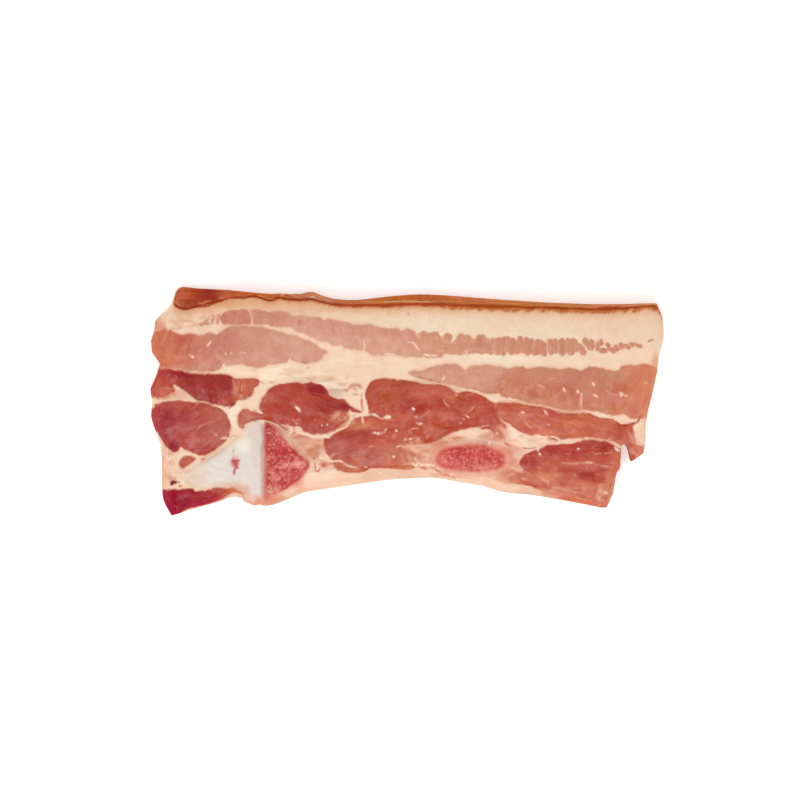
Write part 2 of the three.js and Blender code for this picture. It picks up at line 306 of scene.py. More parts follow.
# %% Red muscles of the belly
MUSCLES["inner_belly"] = {"tone": (176, 76, 65), "fibres": -20, "rise": 0.22, "outline": [
    (-39.5, 0.2), (-38.6, 1.6), (-37.8, 2.9), (-36.5, 3.8), (-35, 4.2), (-33, 4.5), (-31.5, 4.7), (-30, 5),
    (-28.3, 4.4), (-27, 4.8), (-26.2, 5.2), (-25, 4.6), (-23.5, 4.4), (-22.4, 3.4), (-21.6, 2.6),
    (-21.2, 1.6), (-20, 0.8), (-18.5, 0.6), (-17, 0.4), (-16.3, -0.6), (-15.4, -1.6), (-14.2, -2.2),
    (-12.2, -2.9), (-13.5, -3.4), (-15.5, -3.2), (-16.4, -3.8), (-15.7, -4.6), (-16.4, -5.8), (-18, -7.1),
    (-19.8, -8.2), (-22, -9.2), (-24, -9.3), (-26.5, -9.1), (-28.3, -8.3), (-29.4, -7.2), (-31, -7),
    (-33, -6.5), (-35, -6.1), (-38, -5.5), (-40.5, -5.2), (-42.2, -5.5), (-43.6, -6.2), (-44.4, -7.6),
    (-45.4, -7.4), (-46, -6), (-45.7, -4), (-45, -2.6), (-43.5, -2.2), (-42.4, -2.9), (-41, -2.8),
    (-39.6, -3.5), (-40.2, -2),
], "washes": [
    (-43.5, -4.2, 3, 2.6, (194, 116, 96)), (-38, 1, 1.5, 1.5, (192, 108, 90)),
    (-21, -2, 3, 2, (164, 66, 56)), (-18.2, -2.1, 1.5, 1, (146, 34, 46)),
    (-18.5, -5, 2, 2.5, (188, 96, 76)), (-24, -7.3, 4, 1.2, (183, 86, 72)),
    (-24.6, 3.2, 1.7, 1.4, (154, 44, 52)), (-35, 2, 3, 1.5, (180, 80, 72)),
]}
MUSCLES["belly_middle"] = {"tone": (187, 90, 72), "fibres": 18, "rise": 0.22, "outline": [
    (-22.5, -10.4), (-20.9, -9.7), (-19.2, -8.6), (-17.2, -7.5), (-15.9, -6), (-14.4, -4.6), (-12.8, -4.2),
    (-11.3, -4.1), (-10.4, -3), (-11, -1.5), (-11.2, 0.2), (-11.3, 1.6), (-10.8, 2.9), (-9.9, 4.4),
    (-8.6, 5.4), (-7, 5.75), (-4.5, 5.7), (-1.5, 5.4), (1.5, 5), (4.5, 4.4), (7.5, 4.1), (9.5, 4.1),
    (11.3, 3.7), (12.8, 2.8), (13.8, 2.1), (15, 2.4), (16.5, 2.5), (18.5, 2.2), (20, 1.7), (21.3, 0.9),
    (22.3, 0), (23.6, -0.5), (24.4, -1), (24.7, -3.2), (25.6, -5.2), (27, -6.8), (26.6, -8.6),
    (25.8, -10.3), (24.4, -9.6), (22.6, -8.2), (20.5, -7.5), (17.5, -7.5), (15, -8), (13, -8.6),
    (10.5, -9.7), (8.5, -10.8), (6, -11.5), (4, -12), (2.2, -12), (0.6, -11.9), (-0.6, -12.6), (0, -13.6),
    (0.3, -14.8), (0.9, -16.2), (1.9, -17.4), (2, -18.4), (0.2, -18.8), (-2, -18.8), (-5, -18.5),
    (-8, -18.5), (-9.8, -18.5), (-11, -19), (-13, -19.4), (-16, -19.3), (-19, -18.8), (-20, -17.8),
    (-20.2, -16.6), (-21.2, -15.2), (-22.3, -14), (-22.6, -12.4),
], "washes": [
    (-7, 3, 4, 2.5, (184, 92, 72)), (2, -1.8, 4, 1.3, (168, 60, 50)), (-6, 1, 1.6, 1.6, (172, 76, 52)),
    (4, 2.5, 4, 1.5, (195, 104, 86)), (8, -1, 2.5, 1.8, (181, 81, 68)), (12, 1, 2, 1.5, (197, 110, 86)),
    (-13, -6.3, 3.5, 1.6, (203, 117, 88)), (-2, -6, 3, 1.5, (192, 97, 79)),
    (10, -4.3, 2.5, 1, (192, 97, 80)), (17, -5.6, 6, 1.2, (181, 82, 66)), (5, -8.5, 5, 2.2, (182, 85, 63)),
    (-14, -9.5, 6, 1.4, (174, 84, 74)), (-17.5, -13, 3.5, 2, (182, 102, 92)),
    (-9, -15, 4, 2.5, (191, 110, 94)), (-3, -14, 3, 3, (197, 115, 95)), (-5, -10.5, 4, 1.2, (190, 93, 75)),
    (-16, -18.4, 3.5, 0.9, (189, 108, 88)), (-13, -12, 4, 1.5, (189, 92, 80)),
    (22, -3, 2, 2, (190, 92, 71)), (-1, -18, 2.5, 0.9, (197, 95, 60)),
]}
print(len(MUSCLES), "muscles so far")

# %% Muscles by the ribs
MUSCLES["rib_muscle"] = {"tone": (199, 110, 87), "fibres": -8, "rise": 0.2, "outline": [
    (24.4, -0.8), (26, -0.7), (28.5, -0.7), (31, -1), (34, -1.5), (37, -2), (39.5, -2.6), (41.5, -3.3),
    (43.5, -3.5), (46, -3.5), (48.5, -3.4), (50.5, -3.8), (52, -4.6), (54.5, -4.9), (56.5, -5.2),
    (57.3, -6.1), (58.3, -6.6), (60, -6.4), (61.7, -6.4), (61.2, -7.3), (61.8, -9), (62.2, -11.2),
    (63.4, -12.2), (66, -12.6), (66, -16), (61.7, -19), (60, -16), (59, -13.2), (58.2, -12.4), (57, -11.6),
    (55, -10.9), (52, -10.5), (49, -10.2), (45, -10.4), (41.5, -10.6), (39, -10.1), (36, -9.5),
    (33.5, -9.5), (31.5, -8.7), (30, -7.8), (28, -6.6), (26, -5.4), (24.8, -3.3),
], "washes": [
    (27, -3, 2, 2.5, (196, 102, 79)), (30, -5, 2, 1, (205, 120, 101)), (46, -6, 5, 2, (195, 100, 76)),
    (58, -8, 2.5, 1.8, (187, 88, 69)), (54, -8, 2, 2, (196, 104, 81)), (61, -10.5, 2, 2, (201, 106, 83)),
    (62.5, -14, 2.5, 2, (217, 127, 104)), (40, -3.4, 2.5, 0.7, (188, 84, 76)),
]}
MUSCLES["rib_muscle_low"] = {"tone": (188, 90, 72), "fibres": -6, "rise": 0.15, "outline": [
    (30.6, -16.9), (31.3, -15.6), (32.6, -14.6), (34, -13.6), (36, -12.9), (38, -12), (40, -12),
    (42, -11.7), (44.5, -11.8), (46.5, -11.2), (48.5, -10.8), (51, -10.8), (53.5, -10.9), (54.6, -11.3),
    (55.6, -11.8), (57, -12.4), (59, -13.6), (62, -15), (62, -22), (60, -31), (54, -33), (44, -31),
    (38.5, -29), (37, -25.6), (36, -24.5), (34.4, -23.7), (32, -23), (29, -22.5), (27.4, -21.6),
    (28.6, -20.3), (31.4, -18.9), (30.8, -17.8),
], "washes": [
    (33, -16.8, 2, 1.8, (174, 66, 61)), (42, -13.3, 6, 1.4, (178, 70, 64)),
    (54, -12.8, 2.5, 1.6, (170, 68, 54)), (49, -13, 3, 1, (181, 79, 67)),
    (46, -17.6, 6, 0.8, (196, 102, 86)), (50, -20.3, 3, 1.5, (179, 72, 66)),
    (36.5, -21, 4, 1.4, (205, 125, 97)), (44, -23, 6, 1.6, (201, 112, 85)),
    (40, -25, 5, 1, (212, 140, 113)), (50, -24.5, 4, 1.5, (204, 120, 92)),
    (46, -27, 5, 1.2, (202, 116, 82)), (38.6, -26, 2.4, 0.9, (212, 166, 142)),
    (53, -28, 4, 1.2, (198, 110, 88)), (57, -17, 1.5, 4, (204, 112, 88)),
    (55.5, -23, 1.6, 4, (210, 130, 102)), (40, -18, 2, 1, (190, 92, 72)),
    (29.5, -21.3, 2, 1.2, (208, 122, 90)),
]}
print(len(MUSCLES), "muscles,", sum(len(m["outline"]) for m in MUSCLES.values()), "outline points")

# %% [markdown]
# ## The streaky end of the skin muscle
# Towards +X the muscle under the skin breaks up into upright bundles, with fat between them. Each
# bundle is a short fat line: its two ends and its half width. Neighbours that overlap run together,
# and a thin pale line is left between them.

# %% Bundles
BUNDLES = [
    (3.2, 14.7, 8.2, 14.5, 2), (4.4, 16.6, 4.6, 17, 1), (6.6, 17.3, 7.4, 17.5, 1.2),
    (8.4, 17, 8.3, 17.3, 0.6), (8.4, 14.1, 22.4, 14.3, 1.6), (10.9, 16.9, 11, 17, 1.2),
    (14.6, 16.8, 14.8, 17, 1.15), (16.7, 16.6, 16.7, 16.8, 0.9), (19.9, 16.8, 20.4, 16.8, 1.15),
    (21.9, 16.2, 21.8, 16.4, 0.6), (13.2, 15.6, 13.4, 15.8, 0.7), (18.2, 15.8, 18, 16, 0.6),
    (23, 13.1, 23.4, 16.2, 0.65), (9.2, 12.9, 9.3, 13, 0.7), (20.4, 12.9, 20.6, 13, 0.5),
    (14.8, 12.7, 15.2, 12.8, 0.4), (24.7, 13, 24.8, 16.4, 0.7), (26, 13, 26.3, 16.5, 0.8),
    (27.2, 14, 27.3, 16.6, 0.7), (28.5, 13.5, 28.5, 16, 0.9), (30.1, 13.5, 30.6, 16.4, 0.85),
    (31.5, 13.3, 31.5, 16, 0.55), (32.6, 12.9, 32.5, 16.4, 0.65), (33.6, 13.3, 33.7, 16.3, 0.5),
    (35, 13, 35.3, 15.7, 0.8), (36.4, 13.2, 36.4, 15.4, 0.75), (37.3, 12.6, 37.4, 15.1, 0.55),
    (39.2, 13.1, 38.9, 15.9, 0.8), (40.4, 13.3, 40.3, 16.1, 0.6), (42.2, 13, 42, 16, 0.8),
    (43.5, 13.6, 43.6, 16.3, 0.65), (44.7, 13.2, 45, 16, 0.9), (46, 13.7, 45.8, 15.8, 0.55),
    (47.9, 13.1, 47, 14.9, 0.8), (49.6, 14.4, 48.4, 16.1, 0.75), (50.3, 14.2, 50.2, 16, 0.55),
    (51.7, 13.9, 51.7, 15.6, 0.45), (52.5, 15.9, 52.6, 15.7, 0.65), (52.8, 13.6, 53.7, 13.5, 0.65),
    (54.5, 15.2, 54.8, 14.6, 0.45), (55.1, 13.8, 56, 13.5, 0.6), (56.7, 14.5, 57.1, 14, 0.55),
    (58.1, 15, 58.3, 14.5, 0.55), (59.3, 14.8, 60, 14.4, 0.55), (60.8, 15.4, 61, 14.9, 0.45),
    (61.8, 15.4, 62.3, 15.1, 0.35), (62.6, 14.9, 63.4, 14.7, 0.4), (65.7, 15.9, 66.6, 16.4, 0.25),
    (-55.9, 20.7, -54.2, 20.9, 0.35), (-54.6, 21.4, -53.2, 22.2, 0.42), (-53.1, 21, -52.7, 22.8, 0.4),
    (-51.5, 21.1, -51.1, 23, 0.42),
]
BUNDLE_TONES = ((210, 152, 126), (205, 143, 117))  # where the bundles begin, and past x = 30
print(len(BUNDLES), "bundles")

# %% [markdown]
# ## Fat and the pink tissue
# What isn't muscle is fat or the pink tissue round the ribs. Cold fat is cream, yellower in the
# middle of the back fat and stained peach by the smoke just under the skin. The washes place these.

# %% Washes of the fat
FAT_TONE = (240, 212, 184)
FAT_WASHES = [
    # back fat, from the left end to the right end
    (-60, 22, 7, 3, (234, 196, 168)), (-54, 23.6, 3, 1.4, (230, 186, 158)),
    (-48, 26.4, 6, 1.2, (222, 168, 134)), (-39, 26, 6, 1.2, (228, 184, 152)),
    (-29, 24.8, 6, 1.2, (228, 190, 164)), (8, 20.6, 16, 1.8, (238, 216, 190)),
    (34, 20, 14, 2.5, (235, 210, 183)), (60, 19.5, 12, 4, (233, 203, 175)),
    (69.5, 19, 1.6, 5, (231, 192, 162)),
    # the band under the skin muscle
    (-36, 7.5, 8, 1.6, (247, 221, 195)), (22, 11, 8, 1.2, (240, 218, 192)),
    (60, 12.3, 9, 2, (239, 208, 180)), (-12, 7, 6, 1, (238, 208, 182)), (-29, 8.4, 3, 1, (238, 208, 182)),
    # round the cartilage
    (-63.4, -22.4, 0.8, 0.5, (112, 14, 28)), (-64.3, -21.2, 0.7, 0.7, (206, 116, 84)),
    (-47, -4, 1.4, 3, (251, 230, 208)), (-47, -8.6, 1.4, 2, (238, 204, 180)),
    (-65.5, -15.5, 2.4, 3.6, (229, 186, 160)), (-63, -18, 2.5, 1.6, (240, 206, 182)),
    (-59.5, -19.6, 3, 1.6, (232, 205, 182)), (-67, -20, 1.6, 4, (226, 170, 138)),
    (-62, 1.4, 2.4, 1, (226, 178, 152)), (-66.5, 1.6, 2.4, 1, (198, 110, 92)),
    (-50.5, -14.5, 3, 1.6, (222, 184, 158)), (-53, -16.5, 2.5, 1.4, (222, 192, 170)),
    (-47, -23.9, 4, 0.8, (216, 172, 155)), (-44, -25.2, 2, 1, (221, 176, 156)),
    # seam between the belly muscles
    (-18, -7.6, 2.8, 0.9, (202, 122, 96)), (-15, -5.2, 1.4, 0.9, (212, 146, 120)),
    (-28.6, -9.9, 2.6, 0.5, (190, 104, 76)), (10, 5, 8, 0.8, (226, 184, 156)),
    (18, 3.3, 5, 0.7, (222, 176, 150)), (34, -1.1, 6, 0.7, (226, 180, 156)),
    (46, -2.9, 5, 0.6, (230, 182, 158)), (58.5, -4.8, 4, 1.2, (248, 216, 192)),
    (-20, 2.6, 2, 1.4, (208, 180, 164)), (-26, 5.6, 5, 0.8, (228, 196, 172)),
    # pink tissue round the ribs
    (-27.4, -11.8, 3.6, 1.8, (212, 156, 132)), (-25, -13.6, 2, 2, (199, 132, 109)),
    (-21.4, -17.6, 1.4, 1, (226, 188, 166)), (-34, -8, 2.6, 1.4, (203, 153, 133)),
    (-22.6, -17, 0.9, 0.9, (200, 134, 112)), (3, -12.6, 3, 1.4, (229, 172, 148)),
    (1.2, -15.6, 2.6, 2, (214, 140, 113)), (6.5, -15, 3, 3, (221, 156, 131)),
    (7.4, -11.4, 3.6, 0.9, (212, 130, 102)), (13, -10.2, 3, 0.7, (226, 168, 142)),
    (18, -8.6, 3, 1, (242, 205, 181)), (22.5, -9.8, 2.6, 1.2, (214, 148, 127)),
    (27.5, -15.5, 2.6, 3.4, (222, 148, 124)), (28.5, -18, 2, 1.4, (229, 170, 145)),
    (28, -20.6, 3.4, 1.6, (213, 130, 99)), (31, -14.2, 1.5, 0.9, (234, 184, 161)),
    (30, -9.3, 3.5, 2, (247, 212, 187)), (38, -11, 6, 0.9, (238, 194, 169)),
    (46, -10.8, 3, 0.7, (230, 172, 148)), (17, -20.5, 8, 0.6, (232, 180, 152)),
    (27.4, -8, 1.6, 1.6, (240, 200, 174)), (58, -5.6, 2, 0.7, (240, 190, 166)),
    # the lining of the rib cage, along -Y
    (-37.5, -28, 5.5, 2.2, (212, 126, 102)), (-29.6, -21.8, 1.6, 2.6, (220, 128, 110)),
    (-29.5, -25, 3, 1, (238, 194, 168)), (-24, -22.2, 5, 2, (243, 206, 181)),
    (-17, -21.4, 3.4, 2, (235, 197, 168)), (-9, -20.8, 4, 2, (218, 176, 148)),
    (0, -20.6, 5, 2, (222, 181, 155)), (8.4, -21, 3.4, 1.2, (231, 200, 175)),
    (16, -22.2, 3, 1.2, (233, 204, 182)), (22, -22.6, 3, 1.4, (239, 188, 160)),
    (27, -24.2, 2.6, 1.2, (237, 194, 168)), (34, -25.4, 5, 1.4, (214, 168, 143)),
    (-57, -30, 9, 1.6, (190, 112, 92)), (-50, -27, 4, 0.9, (196, 130, 112)),
    # the torn flap at the +X end
    (63.6, -9, 1.6, 3.5, (244, 206, 180)), (65.6, -8, 1.1, 6, (228, 164, 134)),
    (67.9, 10.8, 1.2, 1.8, (219, 152, 115)),
    # the dried -X end
    (-69.4, 20.4, 2.3, 2.6, (205, 120, 94)), (-66.6, 19.9, 1.2, 1.4, (208, 130, 104)),
    (-66.4, -16.6, 0.8, 2.4, (222, 150, 116)),
]
print(len(FAT_WASHES), "washes on the fat")

# %% Curdled fat
# Where the fat is curdled: x, y, half width, half height and how much.
FLAKES = [
    (-59, 21, 8, 3.2, 1), (-64, 18, 4, 2, 0.7), (-36, 7.6, 10, 2, 0.7), (-20, 5, 8, 3, 0.9),
    (-46, -4, 3, 4.5, 0.8), (-57, -19, 8, 3, 0.5), (-65, -17, 3, 7, 0.6), (-24, -15, 5, 5, 0.8),
    (3, -15, 5, 4, 1), (14, -20.6, 10, 1.4, 0.9), (30, -10, 6, 3, 0.8), (28, -17, 3, 4, 0.9),
    (45, -11, 12, 1.2, 0.8), (62, -8, 4, 7, 0.7), (56, -4, 8, 1.5, 0.6), (-30, -25, 10, 2.5, 0.5),
    (10, 5, 14, 1.2, 0.4), (40, -25, 12, 2, 0.4), (-28, 10, 40, 2, 0.3),
]
print(len(FLAKES), "patches of curds")

# %% [markdown]
# ## Seams, lines and flecks
# Between and inside the muscles run thin things: cream seams of fat, pale sheets of sinew, creases
# and small vessels. Each is a stroke of a paint kind, with a half width and a few points.
# A raised stroke stands over the surface, and a crease is cut into it and darkened as painted shade.

# %% Kinds of paint
# Each kind of paint has a colour, how strongly it covers, and how far it stands up, in millimetres.
PAINTS = {
    "cream": ((245, 214, 188), 0.95, 0.10),
    "sinew": ((226, 168, 142), 0.75, 0.05),
    "haze": ((214, 142, 118), 0.6, 0.03),
    # the next paint is painted shade: dark red-brown laid into creases, over a real groove cut into the
    # relief
    "crease": ((170, 52, 26), 0.95, -0.1),
    "brown": ((172, 72, 38), 0.8, -0.04),
    "rust": ((198, 100, 58), 0.8, -0.03),
    "blood": ((140, 14, 26), 0.95, -0.03),
    "flesh": ((206, 142, 114), 0.8, 0.03),
    # the next paint is a painted highlight: the bright glint of a wet spot
    "spark": ((255, 244, 232), 1, 0.08),
    "red": ((192, 66, 62), 0.85, -0.03),
    "burnt": ((146, 50, 28), 0.85, -0.06),
    # the next three paints are painted highlights along the skin's outer face and rim
    "amber": ((206, 132, 88), 0.75, 0.06),
    "gold": ((192, 106, 58), 0.5, 0.04),
    "glint": ((228, 190, 160), 0.7, 0.06),
}
print(len(PAINTS), "kinds of paint")

# %% Strokes on the pale muscles
# A stroke is a kind of paint, its half width and its points.
STROKES = [
    # skin muscle
    ("cream", 0.16, (-11.6, 13.4), (-11.5, 15), (-11.7, 16.6)),
    ("sinew", 0.14, (-43, 24.8), (-42.4, 22.8), (-41.8, 20.7)),
    ("cream", 0.22, (-6, 12.6), (-4.5, 12.6), (-3.2, 12.3)),
    ("cream", 0.28, (4.6, 12.5), (6, 12.2), (8, 12.2)), ("haze", 0.25, (5, 11.6), (6.4, 11.5), (7.6, 11.7)),
    ("cream", 0.25, (0.4, 15.9), (1.4, 15.8), (2.2, 15.1), (3.2, 13.9)),
    ("cream", 0.22, (46.9, 16.1), (47.8, 15.2), (48.6, 14.3), (49.1, 13.4)),
    ("sinew", 0.25, (38.6, 14.9), (39.1, 14.1), (39.5, 13.5)),
    ("sinew", 0.16, (14.2, 15.8), (14.7, 15.3), (15.2, 15.1)), ("sinew", 0.25, (18.8, 13.6), (19.3, 13.7)),
    ("cream", 0.3, (15.9, 12.2), (16.2, 13), (15.9, 13.6)),
    ("cream", 0.22, (-52.9, 22.8), (-53.6, 21.9), (-53.2, 20.9)),
    ("sinew", 0.12, (-5.9, 17.3), (-5.8, 16.3), (-6.2, 15.6)), ("sinew", 0.12, (-8, 16.8), (-8.8, 15.8)),
    ("sinew", 0.12, (-15, 17.4), (-15.6, 16.9)),
    # outer flank
    ("cream", 0.3, (-53.2, 15.9), (-53.8, 15.3), (-54.2, 14.8)),
    ("sinew", 0.14, (-54.2, 14.8), (-55.3, 14.1), (-56, 13.4)), ("cream", 0.32, (-58.5, 12.1), (-58, 11.7)),
    ("sinew", 0.2, (-59.2, 12.6), (-58.4, 12)),
    ("sinew", 0.14, (-50.4, 14.7), (-49.8, 13.3), (-49.2, 12.4)),
    ("cream", 0.2, (-49.4, 12.8), (-49, 12.4)), ("cream", 0.14, (-48, 13), (-47.2, 12.6)),
    ("cream", 0.14, (-45.5, 13), (-45, 12.9)), ("cream", 0.14, (-44.2, 12.9), (-43.8, 12.7)),
    ("cream", 0.3, (-49.8, 9.2), (-49.6, 9.8)), ("cream", 0.25, (-47.5, 8.8), (-47.2, 9.3)),
    ("sinew", 0.1, (-52.2, 13), (-51, 12), (-50.4, 10.4)), ("sinew", 0.1, (-43.3, 13.4), (-43.3, 11.6)),
    ("haze", 0.5, (-39.6, 16.6), (-38.8, 16.2)), ("sinew", 0.2, (-67.2, 22), (-67, 20.4), (-66.8, 19.2)),
    ("red", 0.2, (-66.8, 20.9), (-66.3, 20.4)), ("red", 0.16, (-64.4, 19.1), (-63.9, 18.9)),
    ("rust", 0.3, (-28.4, 10.2), (-27.4, 10.2)), ("cream", 0.25, (-31.6, 10.4), (-31.9, 11.3)),
    # outer belly
    ("cream", 0.3, (42.4, 3.4), (42.8, 2.6)), ("cream", 0.28, (46.1, 2.8), (46.6, 2.1)),
    ("cream", 0.28, (50.3, 4.9), (50.8, 4.2)), ("cream", 0.25, (50.6, 1.6), (51.5, 1.2), (51.7, 0.9)),
    ("sinew", 0.16, (54, 3), (55, 2), (56.4, 1.6), (58, 1.8)),
    ("cream", 0.32, (57.9, 2.2), (58.4, 1.7), (58.1, 1.1)), ("cream", 0.26, (59.1, 1.4), (59.7, 1.2)),
    ("sinew", 0.2, (62, 0.8), (62.8, 0)), ("sinew", 0.2, (64.6, 4.9), (65.6, 4.5)),
    ("sinew", 0.25, (66, 2.2), (66.2, 1)), ("cream", 0.26, (9.7, 6.9), (10, 6.2), (9.8, 5.6)),
    ("sinew", 0.14, (8.5, 6.9), (9.8, 6.2)), ("sinew", 0.16, (19, 8.2), (20.4, 6.8), (21.2, 5.8)),
    ("sinew", 0.14, (21.8, 8.6), (21.2, 7.4)), ("sinew", 0.2, (23.6, 5.9), (22.9, 5), (22.6, 4.4)),
    ("sinew", 0.16, (26.5, 5.5), (25.4, 5), (24.6, 4.6)),
    ("sinew", 0.12, (16.2, 8.2), (16.6, 6.2), (17.5, 4.6)), ("sinew", 0.12, (13.4, 8.6), (13.8, 6.6)),
    ("sinew", 0.18, (38.6, 6), (39.6, 6), (40.2, 6.2)),
    ("sinew", 0.22, (35.3, 4.4), (36.6, 4), (37.4, 3.6)),
    ("cream", 0.16, (47.3, 2), (47.3, -1.6), (47.4, -2.2)), ("sinew", 0.2, (34, 7.9), (34.4, 8.3)),
    ("sinew", 0.16, (57.6, 7.9), (59.6, 7.2)), ("sinew", 0.2, (32.3, 3.6), (32.6, 3.9)),
    ("sinew", 0.14, (45.2, 0.4), (46.6, 0.2)),
]
print(len(STROKES), "strokes")

# %% Strokes at the -X end
STROKES += [
    # inner flank and round muscle
    ("brown", 0.3, (-65.8, 8.5), (-62.5, 8.1), (-60.2, 7.9), (-58.2, 7.3), (-54, 7.1), (-49, 7)),
    ("haze", 0.22, (-47.3, 6), (-46.9, 4.6), (-46.2, 3.8), (-45, 3.6)),
    ("brown", 0.2, (-45, 6), (-45.1, 4.8), (-45.3, 3.2), (-45.1, 1.6)),
    ("sinew", 0.2, (-44.9, 3.4), (-44.8, 2.6)), ("sinew", 0.3, (-45.4, 1.5), (-44.7, 1.3)),
    ("brown", 0.22, (-57.2, -0.2), (-54, -1.1), (-51.6, -1.9), (-49.8, -2.9)),
    ("cream", 0.14, (-52.6, -1.5), (-50.6, -1.9), (-49.2, -2.2), (-48.4, -1.9)),
    ("crease", 0.25, (-48.2, -2.2), (-47.6, -1.6), (-47.2, -0.8)),
    ("brown", 0.18, (-46.4, 0.2), (-43.4, 0.5), (-42.1, 1.4), (-41.6, 2.8)),
    ("haze", 0.3, (-53.4, -7.4), (-52.6, -8.6), (-52, -9.4), (-51.2, -9.9)),
    ("sinew", 0.2, (-52, -9.2), (-51.6, -9.5)), ("haze", 0.35, (-56.4, -7), (-55, -6.4), (-53.4, -6)),
    ("haze", 0.14, (-61.5, -6), (-60.4, -5.6), (-59.3, -5.3)), ("haze", 0.12, (-63, -7.6), (-61.8, -6.8)),
    ("haze", 0.2, (-57.4, -10.2), (-56.4, -11.3)),
    ("cream", 0.3, (-50.6, -10.4), (-49.3, -10.1), (-48.3, -10.6)),
    ("brown", 0.16, (-48.4, -10), (-47.4, -9.7), (-46.4, -9.4)),
    ("brown", 0.2, (-57, -14.6), (-54.6, -14.6), (-52.4, -13.4), (-50.4, -12), (-49, -10.6)),
    ("cream", 0.2, (-61.4, -12.8), (-61.3, -13.4)),
    ("cream", 0.25, (-61, -13.8), (-59.6, -14.4), (-57, -14.9)),
    ("rust", 0.35, (-55.8, -15.9), (-54.9, -15.8)), ("rust", 0.22, (-64.6, -14.4), (-64.9, -15.4)),
    ("rust", 0.4, (-66.6, -15.4), (-66.1, -17), (-65.6, -18.2)),
    ("rust", 0.14, (-64.5, -16.6), (-64.5, -17)),
    # cartilage and what lies below it
    ("red", 0.5, (-47.2, -16.2), (-46.6, -16.9), (-46.3, -17.8), (-46, -18.4)),
    ("red", 0.28, (-46.3, -16.4), (-45.3, -16.2)), ("red", 0.24, (-46.5, -18), (-46.7, -19), (-46.9, -20)),
    ("haze", 0.25, (-47.3, -13.4), (-47.2, -14.6), (-47.2, -15.6)),
    ("blood", 0.55, (-64, -22.8), (-63.5, -22.3), (-62.8, -22.1)),
    ("blood", 0.2, (-62.2, -22), (-61.8, -22.2)), ("rust", 0.3, (-61.8, -22.9), (-61.5, -23.3), (-61, -23)),
    ("rust", 0.25, (-63.1, -21.4), (-62.8, -20.9)), ("rust", 0.22, (-65.2, -21.8), (-64.7, -21.9)),
    ("cream", 0.35, (-63.2, -23), (-62.2, -23)),
    ("rust", 0.4, (-49.6, -24.6), (-47.5, -24.3), (-45.6, -24.9), (-44.6, -25.6)),
    ("haze", 0.3, (-47.6, -24.9), (-46, -25.2)),
]
print(len(STROKES), "strokes")

